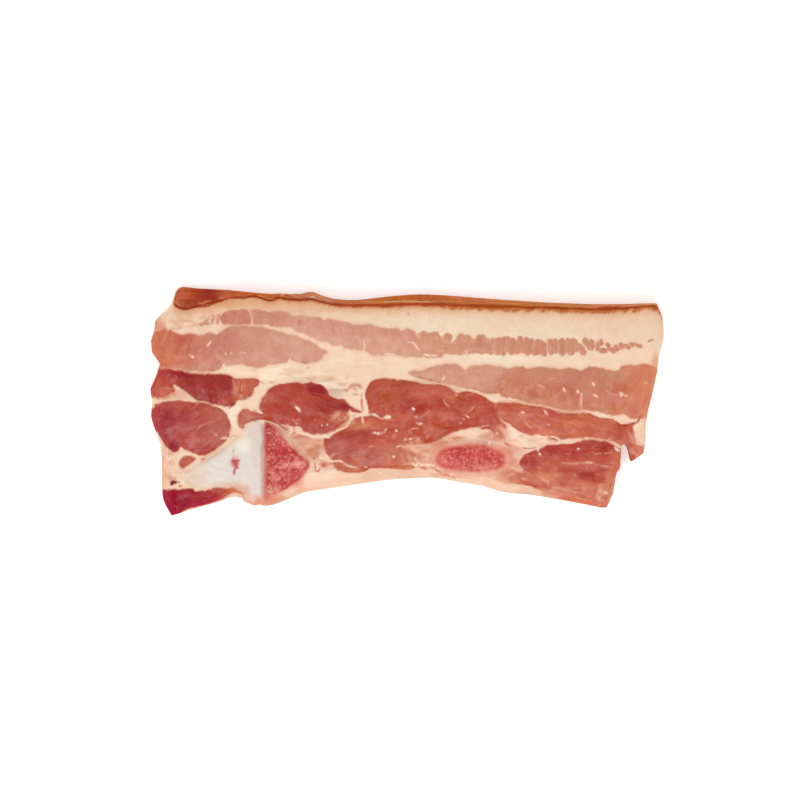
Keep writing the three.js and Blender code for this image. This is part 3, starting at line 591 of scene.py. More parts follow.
# %% Strokes on the red muscles of the belly
STROKES += [
    # inner belly and its seam; the first crease, along the top of the cartilage, is painted shade
    ("crease", 0.26, (-43.8, -6.1), (-42, -5.3), (-40, -5), (-38, -5.2), (-36.2, -5.9), (-34.4, -6.5)),
    ("crease", 0.2, (-34.3, -6.9), (-33.2, -7.5), (-32.5, -7.9)),
    ("brown", 0.2, (-30, 4.9), (-28.4, 4.4), (-26.4, 4.9), (-24.6, 4.5), (-23.2, 4.2)),
    ("haze", 0.2, (-27.6, 6.3), (-26.2, 5.7), (-25.2, 5.9)),
    ("cream", 0.5, (-28.6, -8.8), (-27.4, -9.1), (-25.6, -9.7), (-24, -9.5), (-22.6, -9.7), (-21.2, -10)),
    ("cream", 0.22, (-21.2, -9.9), (-19.8, -8.8), (-18.2, -8), (-16.6, -7.2), (-15.9, -6.2)),
    ("cream", 0.3, (-15.9, -6.2), (-15, -5.2), (-14, -4.5), (-12.6, -3.9), (-11.2, -3.9), (-9.6, -3.7),
        (-8.4, -4), (-7, -4.9), (-5.8, -4.6)),
    ("cream", 0.5, (-5.9, -4.5), (-4.6, -4.5)), ("cream", 0.26, (-14.9, -3.4), (-13.4, -3.6), (-12, -3.9)),
    ("cream", 0.22, (-12.2, -4.2), (-12, -5.2), (-12, -6.2)),
    ("cream", 0.26, (-15.6, -2.8), (-15, -3.8), (-15.2, -4.8)),
    ("cream", 0.28, (-10.7, -3.4), (-10.9, -1.6), (-11.5, 0.2), (-11.8, 1.8), (-11.3, 3.8)),
    ("rust", 0.36, (-12.3, 1.8), (-12.3, 0.2), (-12.2, -1), (-12, -2.4)),
    ("flesh", 0.5, (-15.5, 3.4), (-14.9, 4.1), (-14, 4.2), (-13, 4.2)),
    ("rust", 0.5, (-12.7, 4.1), (-12.3, 3.2)), ("flesh", 0.45, (-17, 2.9), (-16, 2.7)),
    ("flesh", 0.35, (-14.4, 3.4), (-13.6, 2.8)), ("flesh", 0.3, (-14.6, 1.6), (-13.2, 1.8)),
    ("brown", 0.22, (-15, -2.6), (-13.4, -2.9), (-12.2, -2.9)),
    ("sinew", 0.3, (-17.4, -4.2), (-16.6, -4.6), (-16.9, -5.6)),
    ("sinew", 0.22, (-18.6, -5), (-17.8, -5.4)),
    ("cream", 0.35, (-30.2, -1.7), (-29.4, -2.4), (-28.9, -2.9)),
    ("sinew", 0.3, (-30.9, -5.2), (-30.8, -5.5)), ("sinew", 0.3, (-30.4, -6.2), (-29.8, -6.4)),
    ("sinew", 0.25, (-25.1, -5.1), (-25, -5.4)), ("cream", 0.25, (-41.8, -2.9), (-40.6, -3), (-39.3, -3.4)),
    ("rust", 0.4, (-31, -7.6), (-30.4, -8.6), (-31.4, -9)),
    ("cream", 0.35, (-31.8, -7), (-31.2, -8), (-31.6, -8.8)),
    ("sinew", 0.25, (-35, -6.7), (-33.6, -8), (-31.9, -9.6), (-30.2, -11.6)),
    ("haze", 0.3, (-40.6, 5), (-39.4, 4.9), (-38.9, 4.4)),
    ("haze", 0.22, (-37.4, 4.9), (-36.4, 4.8), (-35.6, 5)), ("crease", 0.14, (-22.4, -2), (-22.3, -3.2)),
    ("crease", 0.2, (-20.8, -2), (-20.9, -3.2)),
    # the pink tissue by the rib end
    ("sinew", 0.3, (-27.6, -10.9), (-25.4, -11.3), (-23.4, -11.4), (-22.8, -12.8), (-23, -14.4)),
    ("cream", 0.3, (-23, -14.4), (-23.6, -15.2), (-22.4, -16), (-21, -16.6)),
    ("sinew", 0.3, (-21, -16), (-20.2, -14.8), (-19.4, -14.2)), ("haze", 0.6, (-26, -13), (-25, -13.6)),
    ("cream", 0.35, (-24.3, -17), (-24.4, -18), (-24.5, -18.6)),
    ("red", 0.2, (-25, -16.9), (-25, -18.2), (-24.6, -19.2), (-23.9, -19.1), (-23.6, -18.4)),
    ("red", 0.3, (-25.4, -15.9), (-25.2, -15.7)), ("rust", 0.5, (-22.9, -17.2), (-22.4, -17.8)),
    ("cream", 0.28, (-21, -16.4), (-19.4, -16.5), (-18.2, -16.4), (-17, -17.1), (-15.8, -17.8),
        (-14.6, -18), (-13.4, -18.3)),
    ("brown", 0.2, (-19, -18.9), (-16, -19.4), (-13, -19.4), (-11, -18.9)),
    ("brown", 0.3, (-18.6, -9.4), (-16.2, -8.8), (-14.8, -8.3)),
]
print(len(STROKES), "strokes")

# %% Strokes on the middle of the belly
STROKES += [
    ("brown", 0.3, (-11.1, 0.4), (-11, 2.4), (-9.8, 4.5), (-8.5, 5.4), (-5.6, 5.75), (-2, 5.5), (1.6, 5),
        (5, 4.3), (9.4, 4.1), (11.8, 3.5)),
    ("sinew", 0.4, (13.1, 1.7), (13.4, 1.3)), ("brown", 0.5, (13.7, 0.8), (14.6, 0.4)),
    ("sinew", 0.2, (9.8, 0.2), (10.6, -1), (11.9, -2.2)),
    ("sinew", 0.2, (18.4, -1.4), (17.3, -2.6), (16.4, -3.2)),
    ("sinew", 0.28, (15.4, -3.8), (16, -4), (16.8, -4.6)), ("cream", 0.34, (1.5, -2.1), (2, -2.5)),
    ("sinew", 0.28, (2.2, -4.3), (2.5, -4.4)), ("cream", 0.3, (2.6, -6.1), (3.4, -6.3), (4, -6.2)),
    ("haze", 0.24, (6.2, -2.8), (5.4, -3.4), (4.6, -4.6)),
    ("brown", 0.14, (5.9, -3.3), (5, -4.2), (4.2, -5.3)), ("sinew", 0.34, (9.6, -5.5), (10, -5.5)),
    ("sinew", 0.26, (10.7, -5.2), (10.9, -4.9)),
    ("crease", 0.2, (5, -6.4), (7.2, -6.3), (8.4, -6.7), (9.6, -7.3), (13, -7.4)),
    ("crease", 0.16, (13, -7.4), (16, -7.2), (18, -6.9), (21, -7)),
    ("crease", 0.25, (19.8, -7.5), (20.8, -7.7), (22, -7.4)),
    ("sinew", 0.22, (20, -7.1), (21.4, -6.9), (22.2, -6.7)), ("sinew", 0.26, (14.5, -6.1), (14.9, -5.9)),
    ("sinew", 0.28, (19.8, -5.4), (20.2, -5.6)), ("sinew", 0.26, (15.1, -5.2), (15.5, -5.1)),
    ("cream", 0.32, (-3, -8.2), (-2.8, -8.4)), ("cream", 0.32, (-8, -8.9), (-7.6, -8.9)),
    ("sinew", 0.28, (-9.4, -8.7), (-8.3, -8.9), (-7.4, -9), (-6.4, -8.6)),
    ("sinew", 0.26, (-6.1, -7.8), (-6, -8.6)), ("haze", 0.7, (-5.6, -9.4), (-4.8, -8.8)),
    ("haze", 0.6, (-3.9, -9.9), (-3.2, -9.4)), ("haze", 0.14, (-8.6, -9.9), (-7.4, -10.8), (-6, -11.3)),
    ("sinew", 0.24, (1.3, -8.9), (0.7, -8.3), (1.2, -7.8), (2, -7.6), (3, -7.6)),
    ("haze", 0.24, (4.7, -8.6), (4.8, -8.4)), ("sinew", 0.24, (5.2, -10), (6, -9.4)),
    ("sinew", 0.24, (2.7, -10.2), (3.2, -10.5), (2.6, -10.9)), ("sinew", 0.3, (12, -8.8), (12.2, -8.4)),
    ("cream", 0.3, (-3.7, -15.1), (-3.5, -15.3)), ("sinew", 0.24, (-11.4, -18), (-10.6, -17.9)),
    ("haze", 0.2, (-12.2, -15), (-11.4, -15.6), (-11, -16)), ("haze", 0.35, (-17.6, -12.4), (-16.8, -12.8)),
    ("haze", 0.16, (-14.6, -14.9), (-14.4, -15.6)),
    ("sinew", 0.26, (-10.4, -12.6), (-9.8, -12.4), (-8.6, -12.5)),
    ("haze", 0.24, (-9.2, -16.2), (-8.6, -17)),
]
print(len(STROKES), "strokes")

# %% Strokes in the loose tissue
STROKES += [
    # between the belly middle and the rib
    ("cream", 0.26, (-2.8, -12.6), (-1.6, -12.4), (-0.8, -12.8)),
    ("haze", 0.3, (-1.8, -13.2), (0.4, -13.6), (1.8, -14.2)), ("cream", 0.3, (-0.6, -10.9), (-0.3, -10.4)),
    ("cream", 0.2, (0.6, -16.7), (1.6, -17.3), (2.6, -17.7)),
    ("cream", 0.32, (2.3, -15.6), (3, -16.8), (2.4, -17.8)),
    ("cream", 0.3, (3.6, -16.9), (4.2, -17.6), (5.4, -17.2)),
    ("cream", 0.28, (5.2, -18), (6.4, -17.7), (7.4, -17.6)),
    ("rust", 0.3, (3.6, -18.1), (4.8, -18.4), (5.6, -18.6)),
    ("rust", 0.24, (6.8, -18.3), (8, -19), (9.2, -19.6)),
    ("cream", 0.3, (8.4, -18.6), (9, -18.9), (9.8, -18.6)),
    ("rust", 0.24, (9.4, -19.9), (11, -20.2), (12.2, -20.3)), ("rust", 0.34, (12.2, -20.7), (12.6, -20.6)),
    ("rust", 0.3, (13, -21.2), (13.2, -21)), ("cream", 0.26, (11.8, -20), (12.6, -20.1)),
    ("rust", 0.24, (1, -18.2), (2.2, -18)), ("haze", 0.16, (12, -9.9), (15, -10.1)),
    ("rust", 0.18, (12.6, -10.3), (14, -10.2), (15.4, -10.2)), ("haze", 0.3, (10.4, -11.6), (10.8, -11.2)),
    ("cream", 0.34, (22.4, -11.2), (22.6, -11.6)), ("cream", 0.24, (21.6, -8.8), (21.8, -8.3)),
    ("cream", 0.26, (23.2, -9.6), (22.8, -10)), ("sinew", 0.3, (24.8, -10.8), (26, -11.4)),
    ("crease", 0.2, (26.4, -11.4), (27.2, -11.9), (28, -12.2)), ("rust", 0.26, (19.4, -9.9), (20, -9.8)),
    ("haze", 0.3, (29.8, -13), (31, -13.3)), ("brown", 0.2, (31.5, -12.9), (33.5, -13), (35, -12.7)),
]
print(len(STROKES), "strokes")

# %% Strokes on the rib muscles
STROKES += [
    ("brown", 0.16, (24.5, -0.9), (24.6, -2.4), (25.1, -4), (26.4, -5.4), (28, -6.2)),
    ("crease", 0.16, (28.2, -6.3), (29.6, -7.4), (31, -8.5)), ("cream", 0.34, (31.3, -3.1), (31.5, -3.3)),
    ("sinew", 0.24, (30.3, -3.9), (30.8, -3.6)), ("haze", 0.4, (28.4, -3.4), (28.6, -3.6)),
    ("sinew", 0.3, (29.5, -5.3), (30, -5.1)), ("sinew", 0.22, (32.2, -5.7), (32.8, -6.8), (33.6, -7.6)),
    ("haze", 0.16, (34.2, -3.6), (33.2, -4.8), (32.8, -5.6)),
    ("cream", 0.32, (37.2, -2.8), (37.8, -3.4), (38.2, -3.8)), ("cream", 0.28, (38.2, -6.5), (38.4, -6.6)),
    ("haze", 0.5, (45, -8.3), (45.6, -8)), ("sinew", 0.24, (42.6, -9.5), (43.4, -9.3)),
    ("haze", 0.24, (50, -6.7), (51, -6.6)), ("haze", 0.2, (54.2, -7.4), (54.5, -7.6)),
    ("haze", 0.16, (42.4, -6.4), (43.4, -6.5)), ("haze", 0.16, (34.6, -6.9), (36.4, -7.1)),
    ("cream", 0.4, (35, -9.4), (35.8, -9.5)), ("crease", 0.2, (38.2, -10.2), (39.6, -10.4), (40.7, -10.8)),
    ("cream", 0.2, (36.6, -9.8), (38.6, -9.9), (40.4, -10.1), (41.6, -10.7)),
    ("sinew", 0.26, (49, -10.6), (51, -10.4), (53, -10.8)),
    ("sinew", 0.22, (54.9, -11.4), (54.9, -10.5), (56, -10)),
    ("cream", 0.3, (56.4, -12.6), (57, -13.2), (57.6, -13.7)),
    ("cream", 0.34, (35.4, -13.2), (35.6, -13.6)), ("cream", 0.34, (35.9, -14.4), (36.2, -14.6)),
    ("sinew", 0.24, (46.6, -13.2), (47, -13.1)), ("sinew", 0.14, (51, -14.5), (53.4, -14.4), (55.4, -14.3)),
    ("sinew", 0.26, (42, -16.9), (45, -17.2), (48, -16.8), (50.6, -16.9)),
    ("cream", 0.18, (48.6, -16.8), (50, -16.9)), ("sinew", 0.18, (51.6, -17.4), (54, -17.8), (56, -18)),
    ("crease", 0.26, (31.6, -15), (33, -14.4), (34.6, -14.2)), ("haze", 0.4, (40.4, -18.7), (40.8, -18.3)),
    ("haze", 0.35, (40.2, -20.4), (41.4, -20.8)),
    ("sinew", 0.3, (36, -20.6), (37.2, -21.4), (38.2, -22), (38.4, -22.8)),
    ("sinew", 0.28, (38.4, -21.8), (39.6, -21.4)), ("haze", 0.3, (45.4, -20.2), (45.8, -20)),
    ("rust", 0.4, (30, -21), (31, -21.6), (31.6, -22.4)), ("sinew", 0.3, (31.2, -21), (32.2, -21.4)),
    ("sinew", 0.22, (28.6, -19.8), (29.2, -20.2)), ("haze", 0.2, (48.6, -18.6), (49.2, -18)),
    ("brown", 0.45, (50.4, -19.8), (50.8, -20.6), (50.2, -21.2)),
    ("brown", 0.4, (53.4, -21.2), (52.8, -22.4)),
    ("sinew", 0.22, (52.4, -24.4), (53.4, -25.2), (54.2, -24.6)),
    ("cream", 0.22, (53.2, -25.6), (54.4, -25.2), (55, -25.8)),
    ("sinew", 0.2, (51.4, -26.4), (52.6, -27), (53.6, -27.2)), ("crease", 0.2, (52.6, -25), (52.2, -25.8)),
    ("crease", 0.26, (54.2, -26.2), (54, -27)), ("sinew", 0.2, (46, -26.2), (47.6, -26.8), (49, -27)),
    ("rust", 0.3, (47, -25.6), (47.6, -25.9)),
    ("crease", 0.3, (56.9, -5.8), (58, -6.6), (59.6, -6.6), (61, -6.2), (62.3, -5.9), (63, -5.1),
        (63.3, -4.5)),
    # the wide crease on the next line is painted shade on the flesh wall inside the notch
    ("cream", 0.3, (58, -6.1), (59, -6)), ("crease", 0.5, (59.4, -12.6), (59.6, -13.4)),
    ("haze", 0.4, (61, -12.8), (61.2, -14.2)),
]
print(len(STROKES), "strokes")

# %% Strokes in the fat
STROKES += [
    # cream seam over the rib muscle
    ("sinew", 0.26, (41.5, -3), (45, -2.8), (48.5, -2.9)),
    ("cream", 0.26, (48.5, -2.9), (52, -3.7), (55.5, -4.5)),
    ("sinew", 0.24, (25.4, -0.2), (28, -0.3), (32, -0.9), (36, -1.2), (39, -1.8)),
    ("cream", 0.2, (11.4, 4.2), (15, 3.2), (18, 2.7), (20, 2.1), (22, 0.9), (24, 0.2)),
    ("brown", 0.2, (42, -3.4), (45.6, -3.6), (49.4, -3.5), (51.8, -4.6), (56.4, -5.2)),
    ("brown", 0.16, (28.6, -0.8), (34, -1.6), (38.5, -2.2), (41.8, -3.3)),
    ("brown", 0.2, (0.6, 8.1), (0.7, 7.4), (2.2, 6.6), (5, 5.9), (9, 4.9)),
    # marks in the fat
    ("rust", 0.36, (0.3, 23.5), (0.5, 23.4)), ("haze", 0.3, (-27.2, 8.9), (-26.4, 9)),
    ("haze", 0.2, (-5, 23.2), (-4.6, 23.1)), ("haze", 0.2, (-28.6, 24.3), (-28.4, 24)),
    ("sinew", 0.2, (-16.6, 5.9), (-16, 6.6)), ("haze", 0.12, (60, 20.9), (60.3, 21.2)),
]
print(len(STROKES), "strokes")

# %% [markdown]
# ## Skin, light and lining, set out along the slice
# Along the rind the skin is a dark line in the cut, about as thick as a coin, and it thins towards
# -X. Outside it the smoked face of the skin shows, and inside it the fat is stained in a fringe.

# %% Colours along the rind
# At each x: the skin's thickness, its colour in the cut, and the colour of its outer face.
RIND = [
    (-64, 0.40, (170, 74, 52), (196, 104, 76)), (-61, 0.40, (160, 64, 46), (192, 98, 70)),
    (-58, 0.35, (158, 60, 44), (172, 77, 52)), (-54, 0.35, (150, 52, 42), (153, 53, 44)),
    (-50, 0.40, (160, 62, 42), (184, 92, 66)), (-44, 0.40, (166, 72, 42), (180, 90, 56)),
    (-38, 0.40, (162, 70, 40), (180, 94, 46)), (-33, 0.60, (152, 58, 38), (184, 104, 70)),
    (-28, 0.70, (151, 56, 36), (186, 112, 80)), (-22, 0.75, (158, 66, 46), (192, 122, 92)),
    (-17, 0.85, (160, 66, 44), (180, 106, 76)), (-4, 0.90, (164, 70, 42), (183, 102, 52)),
    (6, 0.85, (163, 70, 42), (180, 94, 57)), (16, 0.85, (165, 74, 42), (189, 106, 68)),
    (28, 0.85, (162, 70, 38), (192, 114, 66)), (40, 0.70, (155, 66, 37), (190, 116, 74)),
    (56, 0.66, (156, 66, 38), (192, 118, 78)), (70, 0.60, (166, 84, 50), (200, 138, 100)),
]


# Folds and dark stains on the skin's outer face and along its cut edge, and painted highlights there: the
# amber, gold and glint strokes.
SKIN_STROKES = [
    ("burnt", 0.3, (-64, 27.2), (-63.2, 26), (-61.6, 25.1), (-60, 24.8), (-58.5, 25.2), (-56, 25.6),
        (-54, 25.8), (-52, 26.7), (-50, 27.2)),
    ("burnt", 0.24, (-47, 27.8), (-44.5, 27.8), (-42.6, 28.2), (-41, 28.3), (-39.4, 27.7), (-38, 27.3),
        (-36.4, 27.2), (-35.2, 28), (-34, 27.8), (-33, 27.2)),
    ("amber", 0.3, (-56.5, 26.3), (-55.4, 26.4), (-54.4, 27), (-53.4, 27.1)),
    ("amber", 0.22, (-62.9, 26.9), (-62.2, 26.1), (-61, 25.6)), ("amber", 0.28, (-51, 27.8), (-49.8, 28)),
    ("gold", 0.4, (-40, 28.8), (-38.6, 28.7), (-37.4, 28.2)),
    ("amber", 0.2, (-40.4, 28.5), (-39, 28.1), (-37.6, 27.6), (-36, 27.7)),
    ("glint", 0.22, (-34.2, 28.6), (-33, 29.1), (-31.6, 29)),
    ("amber", 0.26, (-32.8, 28.2), (-31.4, 28.6), (-30, 28.2), (-28.6, 27.9)),
    ("burnt", 0.16, (-33.2, 28.7), (-32.4, 28.4), (-31.6, 28.5)),
    ("amber", 0.3, (-27.4, 28.4), (-26, 28.9), (-24.6, 28.6), (-23.6, 27.8)),
    ("glint", 0.16, (-26.6, 28), (-25.6, 28.2), (-24.8, 28)),
    ("amber", 0.2, (-12, 27), (-8, 26.7), (-3, 26.8), (2, 26.9), (7, 26.8), (12, 26.9), (16, 26.7)),
    ("glint", 0.12, (-6, 26.8), (0, 26.9), (6, 26.8)),
    ("gold", 0.24, (-20, 27.5), (-17, 27.2), (-14, 27.2)), ("gold", 0.3, (-12, 27.7), (-6, 27.9), (0, 28)),
    ("amber", 0.14, (22, 26.6), (28, 26.4), (34, 26.2)), ("burnt", 0.2, (52, 25.2), (55, 25.3), (58, 25.4)),
]


def along_rind(x, column):
    """The value of a column of RIND at each x."""
    places = [row[0] for row in RIND]
    values = np.array([np.atleast_1d(row[column]) for row in RIND], float)
    return np.stack([np.interp(x, places, channel) for channel in values.T], axis=1)


print("thickness of the skin at x = 0:", along_rind(np.zeros(1), 1)[0, 0].round(2), "mm")

# %% [markdown]
# ## The bones in plan
# Three pieces of the rib cage are cut through: soft white cartilage, the end of the bone that it
# grows from, and a rib farther along, whose red marrow fills a pale ring.

# %% Cartilage and rib end in plan
BONES = {}
BONES["cartilage"] = {"tone": (224, 213, 204), "soft": 0.8, "outline": [
    (-41.4, -5.5), (-42.6, -6.6), (-43.6, -8.4), (-44.2, -10.4), (-45.4, -11), (-46.6, -11.4), (-48.5, -13),
    (-51, -14.6), (-54, -16.3), (-56.6, -18), (-58.6, -20), (-60, -21.8), (-58.6, -23), (-55.5, -23.4),
    (-52, -23.2), (-48, -22.9), (-45, -22.7), (-43.2, -23.4), (-42.6, -25), (-42.6, -26.6), (-42, -27.3),
    (-41, -26.7), (-40, -26.3), (-39.2, -26), (-38.6, -22), (-38.5, -16), (-38.6, -9), (-39.4, -6.4),
], "washes": [
    (-42, -8.2, 1.6, 1.8, (218, 197, 188)), (-40.9, -14, 0.9, 6, (221, 202, 192)),
    # the first wash on the next line is painted shade along the cartilage's border with the rib end
    (-39.3, -16, 0.5, 10, (200, 160, 152)), (-44.6, -12, 1.6, 1.6, (236, 226, 214)),
    (-41.6, -21, 1.4, 4, (225, 212, 204)), (-56, -20, 2, 1.6, (228, 206, 186)),
    (-59, -22, 2.4, 1.6, (226, 198, 174)), (-48, -23.2, 4, 0.7, (212, 170, 154)),
    (-41, -26.4, 1.2, 1, (221, 186, 172)), (-52, -21, 2.4, 1.2, (226, 217, 206)),
    (-46.7, -16.9, 0.9, 1.1, (196, 84, 82)), (-46.8, -19.4, 0.3, 0.7, (204, 108, 102)),
]}
BONES["rib_tip"] = {"tone": (198, 78, 68), "soft": 0.6, "outline": [
    (-38.6, -6.2), (-37.4, -6.1), (-36, -6.9), (-35, -8.2), (-34, -9.6), (-32.8, -10.9), (-31.5, -12.2),
    (-30, -13.6), (-28.4, -15), (-26.9, -16.2), (-26.5, -17.4), (-27.2, -19.2), (-29, -21.3), (-31, -23),
    (-33, -24.5), (-35, -25.7), (-37, -26.6), (-38.8, -27), (-38.9, -22), (-38.7, -16), (-38.9, -10),
], "washes": [
    (-37.8, -8.6, 0.9, 2, (170, 56, 54)), (-36, -10, 0.9, 1.2, (178, 56, 52)),
    (-34.9, -9, 0.6, 1.4, (208, 124, 98)), (-35, -12, 1.4, 0.8, (196, 66, 60)),
    (-33.5, -14, 1.9, 1.4, (182, 26, 34)), (-31, -15.1, 1.5, 1.1, (180, 22, 30)),
    (-37, -13.8, 1, 1.4, (180, 52, 52)), (-36, -17, 1.6, 1.4, (188, 66, 62)),
    (-33.4, -17.6, 2.2, 0.7, (222, 136, 120)), (-31, -20, 1.4, 1.2, (192, 66, 62)),
    (-29.4, -17.2, 1.1, 0.8, (230, 160, 144)), (-28, -18.6, 1, 1.4, (212, 104, 94)),
    (-35.6, -20.6, 1.8, 1.4, (212, 118, 104)), (-33, -22.6, 1.4, 1, (202, 92, 80)),
    (-32, -12, 0.8, 0.8, (206, 90, 82)), (-37, -24.8, 1.8, 1, (217, 156, 136)),
    (-38.6, -20, 0.4, 6, (202, 118, 108)), (-34.6, -25.4, 1.4, 0.7, (220, 146, 122)),
]}
print(len(BONES), "bone outlines")

# %% The cut rib in plan
BONES["rib_slice"] = {"tone": (226, 160, 136), "soft": 0.9, "outline": [
    (5.6, -16.2), (6.3, -14.3), (8, -12.7), (10.4, -11.8), (13.2, -11.4), (16.5, -11.2), (20, -11.2),
    (23.4, -11.7), (26.2, -12.9), (28.1, -14.6), (28.6, -16.4), (27.8, -18.2), (25.8, -19.5), (22.8, -20.2),
    (19.4, -20.5), (15.8, -20.5), (12.2, -20.2), (9, -19.4), (6.6, -18),
], "washes": [
    (6.4, -15, 1.2, 2.5, (222, 158, 133)), (16.5, -11.4, 5, 0.4, (214, 150, 134)),
    (28, -16, 1, 2.6, (224, 154, 129)), (17, -20.3, 7, 0.6, (234, 184, 157)),
    (9, -12.4, 2, 0.7, (218, 142, 119)), (25, -19.4, 2.4, 0.6, (228, 166, 142)),
]}
BONES["marrow"] = {"tone": (199, 68, 58), "soft": 0.7, "outline": [
    (7.9, -15.5), (8.6, -14), (10.6, -12.9), (13.4, -12.4), (16.6, -12.2), (20, -12.2), (23, -12.8),
    (25.4, -13.9), (26.6, -15.4), (26.5, -17), (25.3, -18.3), (22.8, -19.1), (19.4, -19.5), (15.6, -19.5),
    (12.2, -19.1), (9.6, -18.2), (8.1, -16.9),
], "washes": [
    (12.6, -13.8, 2.4, 1, (199, 66, 58)), (16, -15, 1.2, 0.9, (192, 54, 48)),
    (19, -13.1, 2.4, 0.8, (195, 72, 62)), (23, -15.4, 0.8, 0.8, (184, 30, 34)),
    (22, -13.6, 1.6, 0.8, (202, 82, 72)), (24.4, -14.6, 1.6, 1.2, (205, 92, 82)),
    (17, -15.8, 4, 1.6, (200, 76, 68)), (12, -17, 3, 1.4, (212, 104, 90)),
    (20, -18, 3, 1.2, (216, 118, 103)), (16.5, -19, 4, 0.7, (218, 128, 110)),
    (9.2, -15.6, 1.2, 1.4, (212, 104, 88)),
]}
print(len(BONES), "bone outlines")

# %% [markdown]
# ## Fine copies of the model's solids
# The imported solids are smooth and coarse. To carry the look of cut meat each is copied, its loose
# triangles are merged, and a voxel remesh gives it small even faces, finer than the thinnest seam.
# Only the upper face is looked at closely, so the sides and the underside are thinned again.

# %% A fine copy
CELL = 0.295


def only(piece):
    """Selects one piece and nothing else."""
    bpy.ops.object.select_all(action="DESELECT")
    piece.select_set(True)
    bpy.context.view_layer.objects.active = piece


def merged_copy(node, name):
    """A copy of a node of the model, with its loose triangles merged."""
    piece = bpy.data.objects.new(name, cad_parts[node].data.copy())
    bpy.context.scene.collection.objects.link(piece)
    only(piece)
    bpy.ops.object.mode_set(mode="EDIT")
    bpy.ops.mesh.select_all(action="SELECT")
    bpy.ops.mesh.remove_doubles(threshold=1e-6)
    bpy.ops.object.mode_set(mode="OBJECT")
    return piece


def fine_copy(node, name, cell):
    """A merged and remeshed copy of a node of the model, with faces `cell` millimetres across."""
    piece = merged_copy(node, name)
    remesh = piece.modifiers.new("even_faces", "REMESH")
    remesh.mode = "VOXEL"
    remesh.voxel_size = cell * MM
    bpy.ops.object.modifier_apply(modifier=remesh.name)
    return piece


belly = fine_copy("belly_meat", "pork_belly", CELL)
print("the fine copy has", len(belly.data.polygons), "faces")

# %% Reading, moving and thinning a mesh
def read(items, key, width=3):
    """A numpy table of one property of a mesh's items."""
    table = np.empty(len(items) * width)
    items.foreach_get(key, table)
    return table.reshape(-1, width)


def places_of(piece):
    """Where the points of a piece are, in millimetres."""
    return read(piece.data.vertices, "co") / MM


def move_points(piece, places):
    """Puts the points of a piece at places in millimetres."""
    piece.data.vertices.foreach_set("co", (places * MM).ravel())
    piece.data.update()


def thin_out(piece, chosen, keep):
    """Decimates the chosen faces, so that only a share of them is kept."""
    mesh = piece.data
    mesh.vertices.foreach_set("select", np.zeros(len(mesh.vertices), bool))
    mesh.edges.foreach_set("select", np.zeros(len(mesh.edges), bool))
    mesh.polygons.foreach_set("select", chosen)
    only(piece)
    bpy.ops.object.mode_set(mode="EDIT")
    bpy.ops.mesh.select_mode(type="FACE")
    bpy.ops.mesh.decimate(ratio=keep)
    bpy.ops.object.mode_set(mode="OBJECT")


def triangles(piece):
    """How many triangles a piece has."""
    return int(sum(read(piece.data.polygons, "loop_total", 1)[:, 0] - 2))


print("before thinning:", triangles(belly), "triangles")

# %% [markdown]
# ## Where a point of the surface lies
# The paint needs to know how far each point is from the skin and from the lining of the rib cage.
# The walls of the slice are picked out by the way they face and by their place, and a search tree
# finds the nearest one.

# %% Distances to the walls
belly_places = places_of(belly)
belly_corners = [tuple(p.vertices) for p in belly.data.polygons]
wall_centres = read(belly.data.polygons, "center") / MM
wall_normals = read(belly.data.polygons, "normal")
# The edge of the rib side in plan: x and y.
RIB_EDGE = [
    (-66, -31), (-55, -30), (-41, -28.5), (-33, -25.6), (-25, -23.9),
    (0, -21.1), (13, -21.8), (28, -24.2), (40, -27.2), (60, -29),
]
FAR = 12.0  # beyond this the distance to a wall no longer matters
SKIN_PAST = 19  # the skin lies past this y
SKIN_FROM = -64.2  # the skin begins here. Past it the side is bare fat
MEAT_TOP = belly_places[:, 2].max()


def wall_tree(chosen):
    """A search tree of the chosen faces of the belly."""
    faces = [belly_corners[i] for i in np.flatnonzero(chosen)]
    return BVHTree.FromPolygons(belly_places.tolist(), faces)


upright = abs(wall_normals[:, 2]) < 0.8
on_skin = (wall_centres[:, 1] > SKIN_PAST) & (wall_centres[:, 0] > SKIN_FROM) & (wall_normals[:, 0] > -0.5)
rib_edge_y = np.interp(wall_centres[:, 0], *zip(*RIB_EDGE))
WALLS = {
    "rind": wall_tree(upright & (wall_normals[:, 1] > 0.3) & on_skin),
    "ribs": wall_tree(upright & (wall_normals[:, 1] < -0.2) & (wall_centres[:, 1] < rib_edge_y + 2)),
}


def distance_from(wall, places, near):
    """Millimetres to a wall from the places marked as near. The others are FAR."""
    distance = np.full(len(places), FAR)
    hits = [WALLS[wall].find_nearest(place, FAR)[3] for place in places[near].tolist()]
    distance[near] = [FAR if hit is None else hit for hit in hits]
    return distance


print("the walls:", *WALLS)

# %% Thinner sides and underside
UNDERSIDE, OPEN_END, COVERED = 1, 2, 3
KEPT = {UNDERSIDE: 0.04, OPEN_END: 0.5, COVERED: 0.12}  # the share of the faces that is kept
ENDS = (-63, 55.5)  # between these the sides are covered by sheets or by the bones
RIM = 1.2  # this much of a covered side stays fine, below the cut
SET_BACK = 0.25  # how far a covered side is drawn in, behind its sheet


def part_of(piece):
    """Tells the faces of a piece apart: underside, open end, covered side, or 0 for the rest."""
    centres = read(piece.data.polygons, "center") / MM
    normals = read(piece.data.polygons, "normal")
    side = (abs(normals[:, 2]) < 0.7) & (centres[:, 2] < MEAT_TOP - RIM)
    between_ends = (centres[:, 0] > ENDS[0]) & (centres[:, 0] < ENDS[1])
    kinds = [normals[:, 2] < -0.7, side & ~between_ends, side]
    return np.select(kinds, [UNDERSIDE, OPEN_END, COVERED])


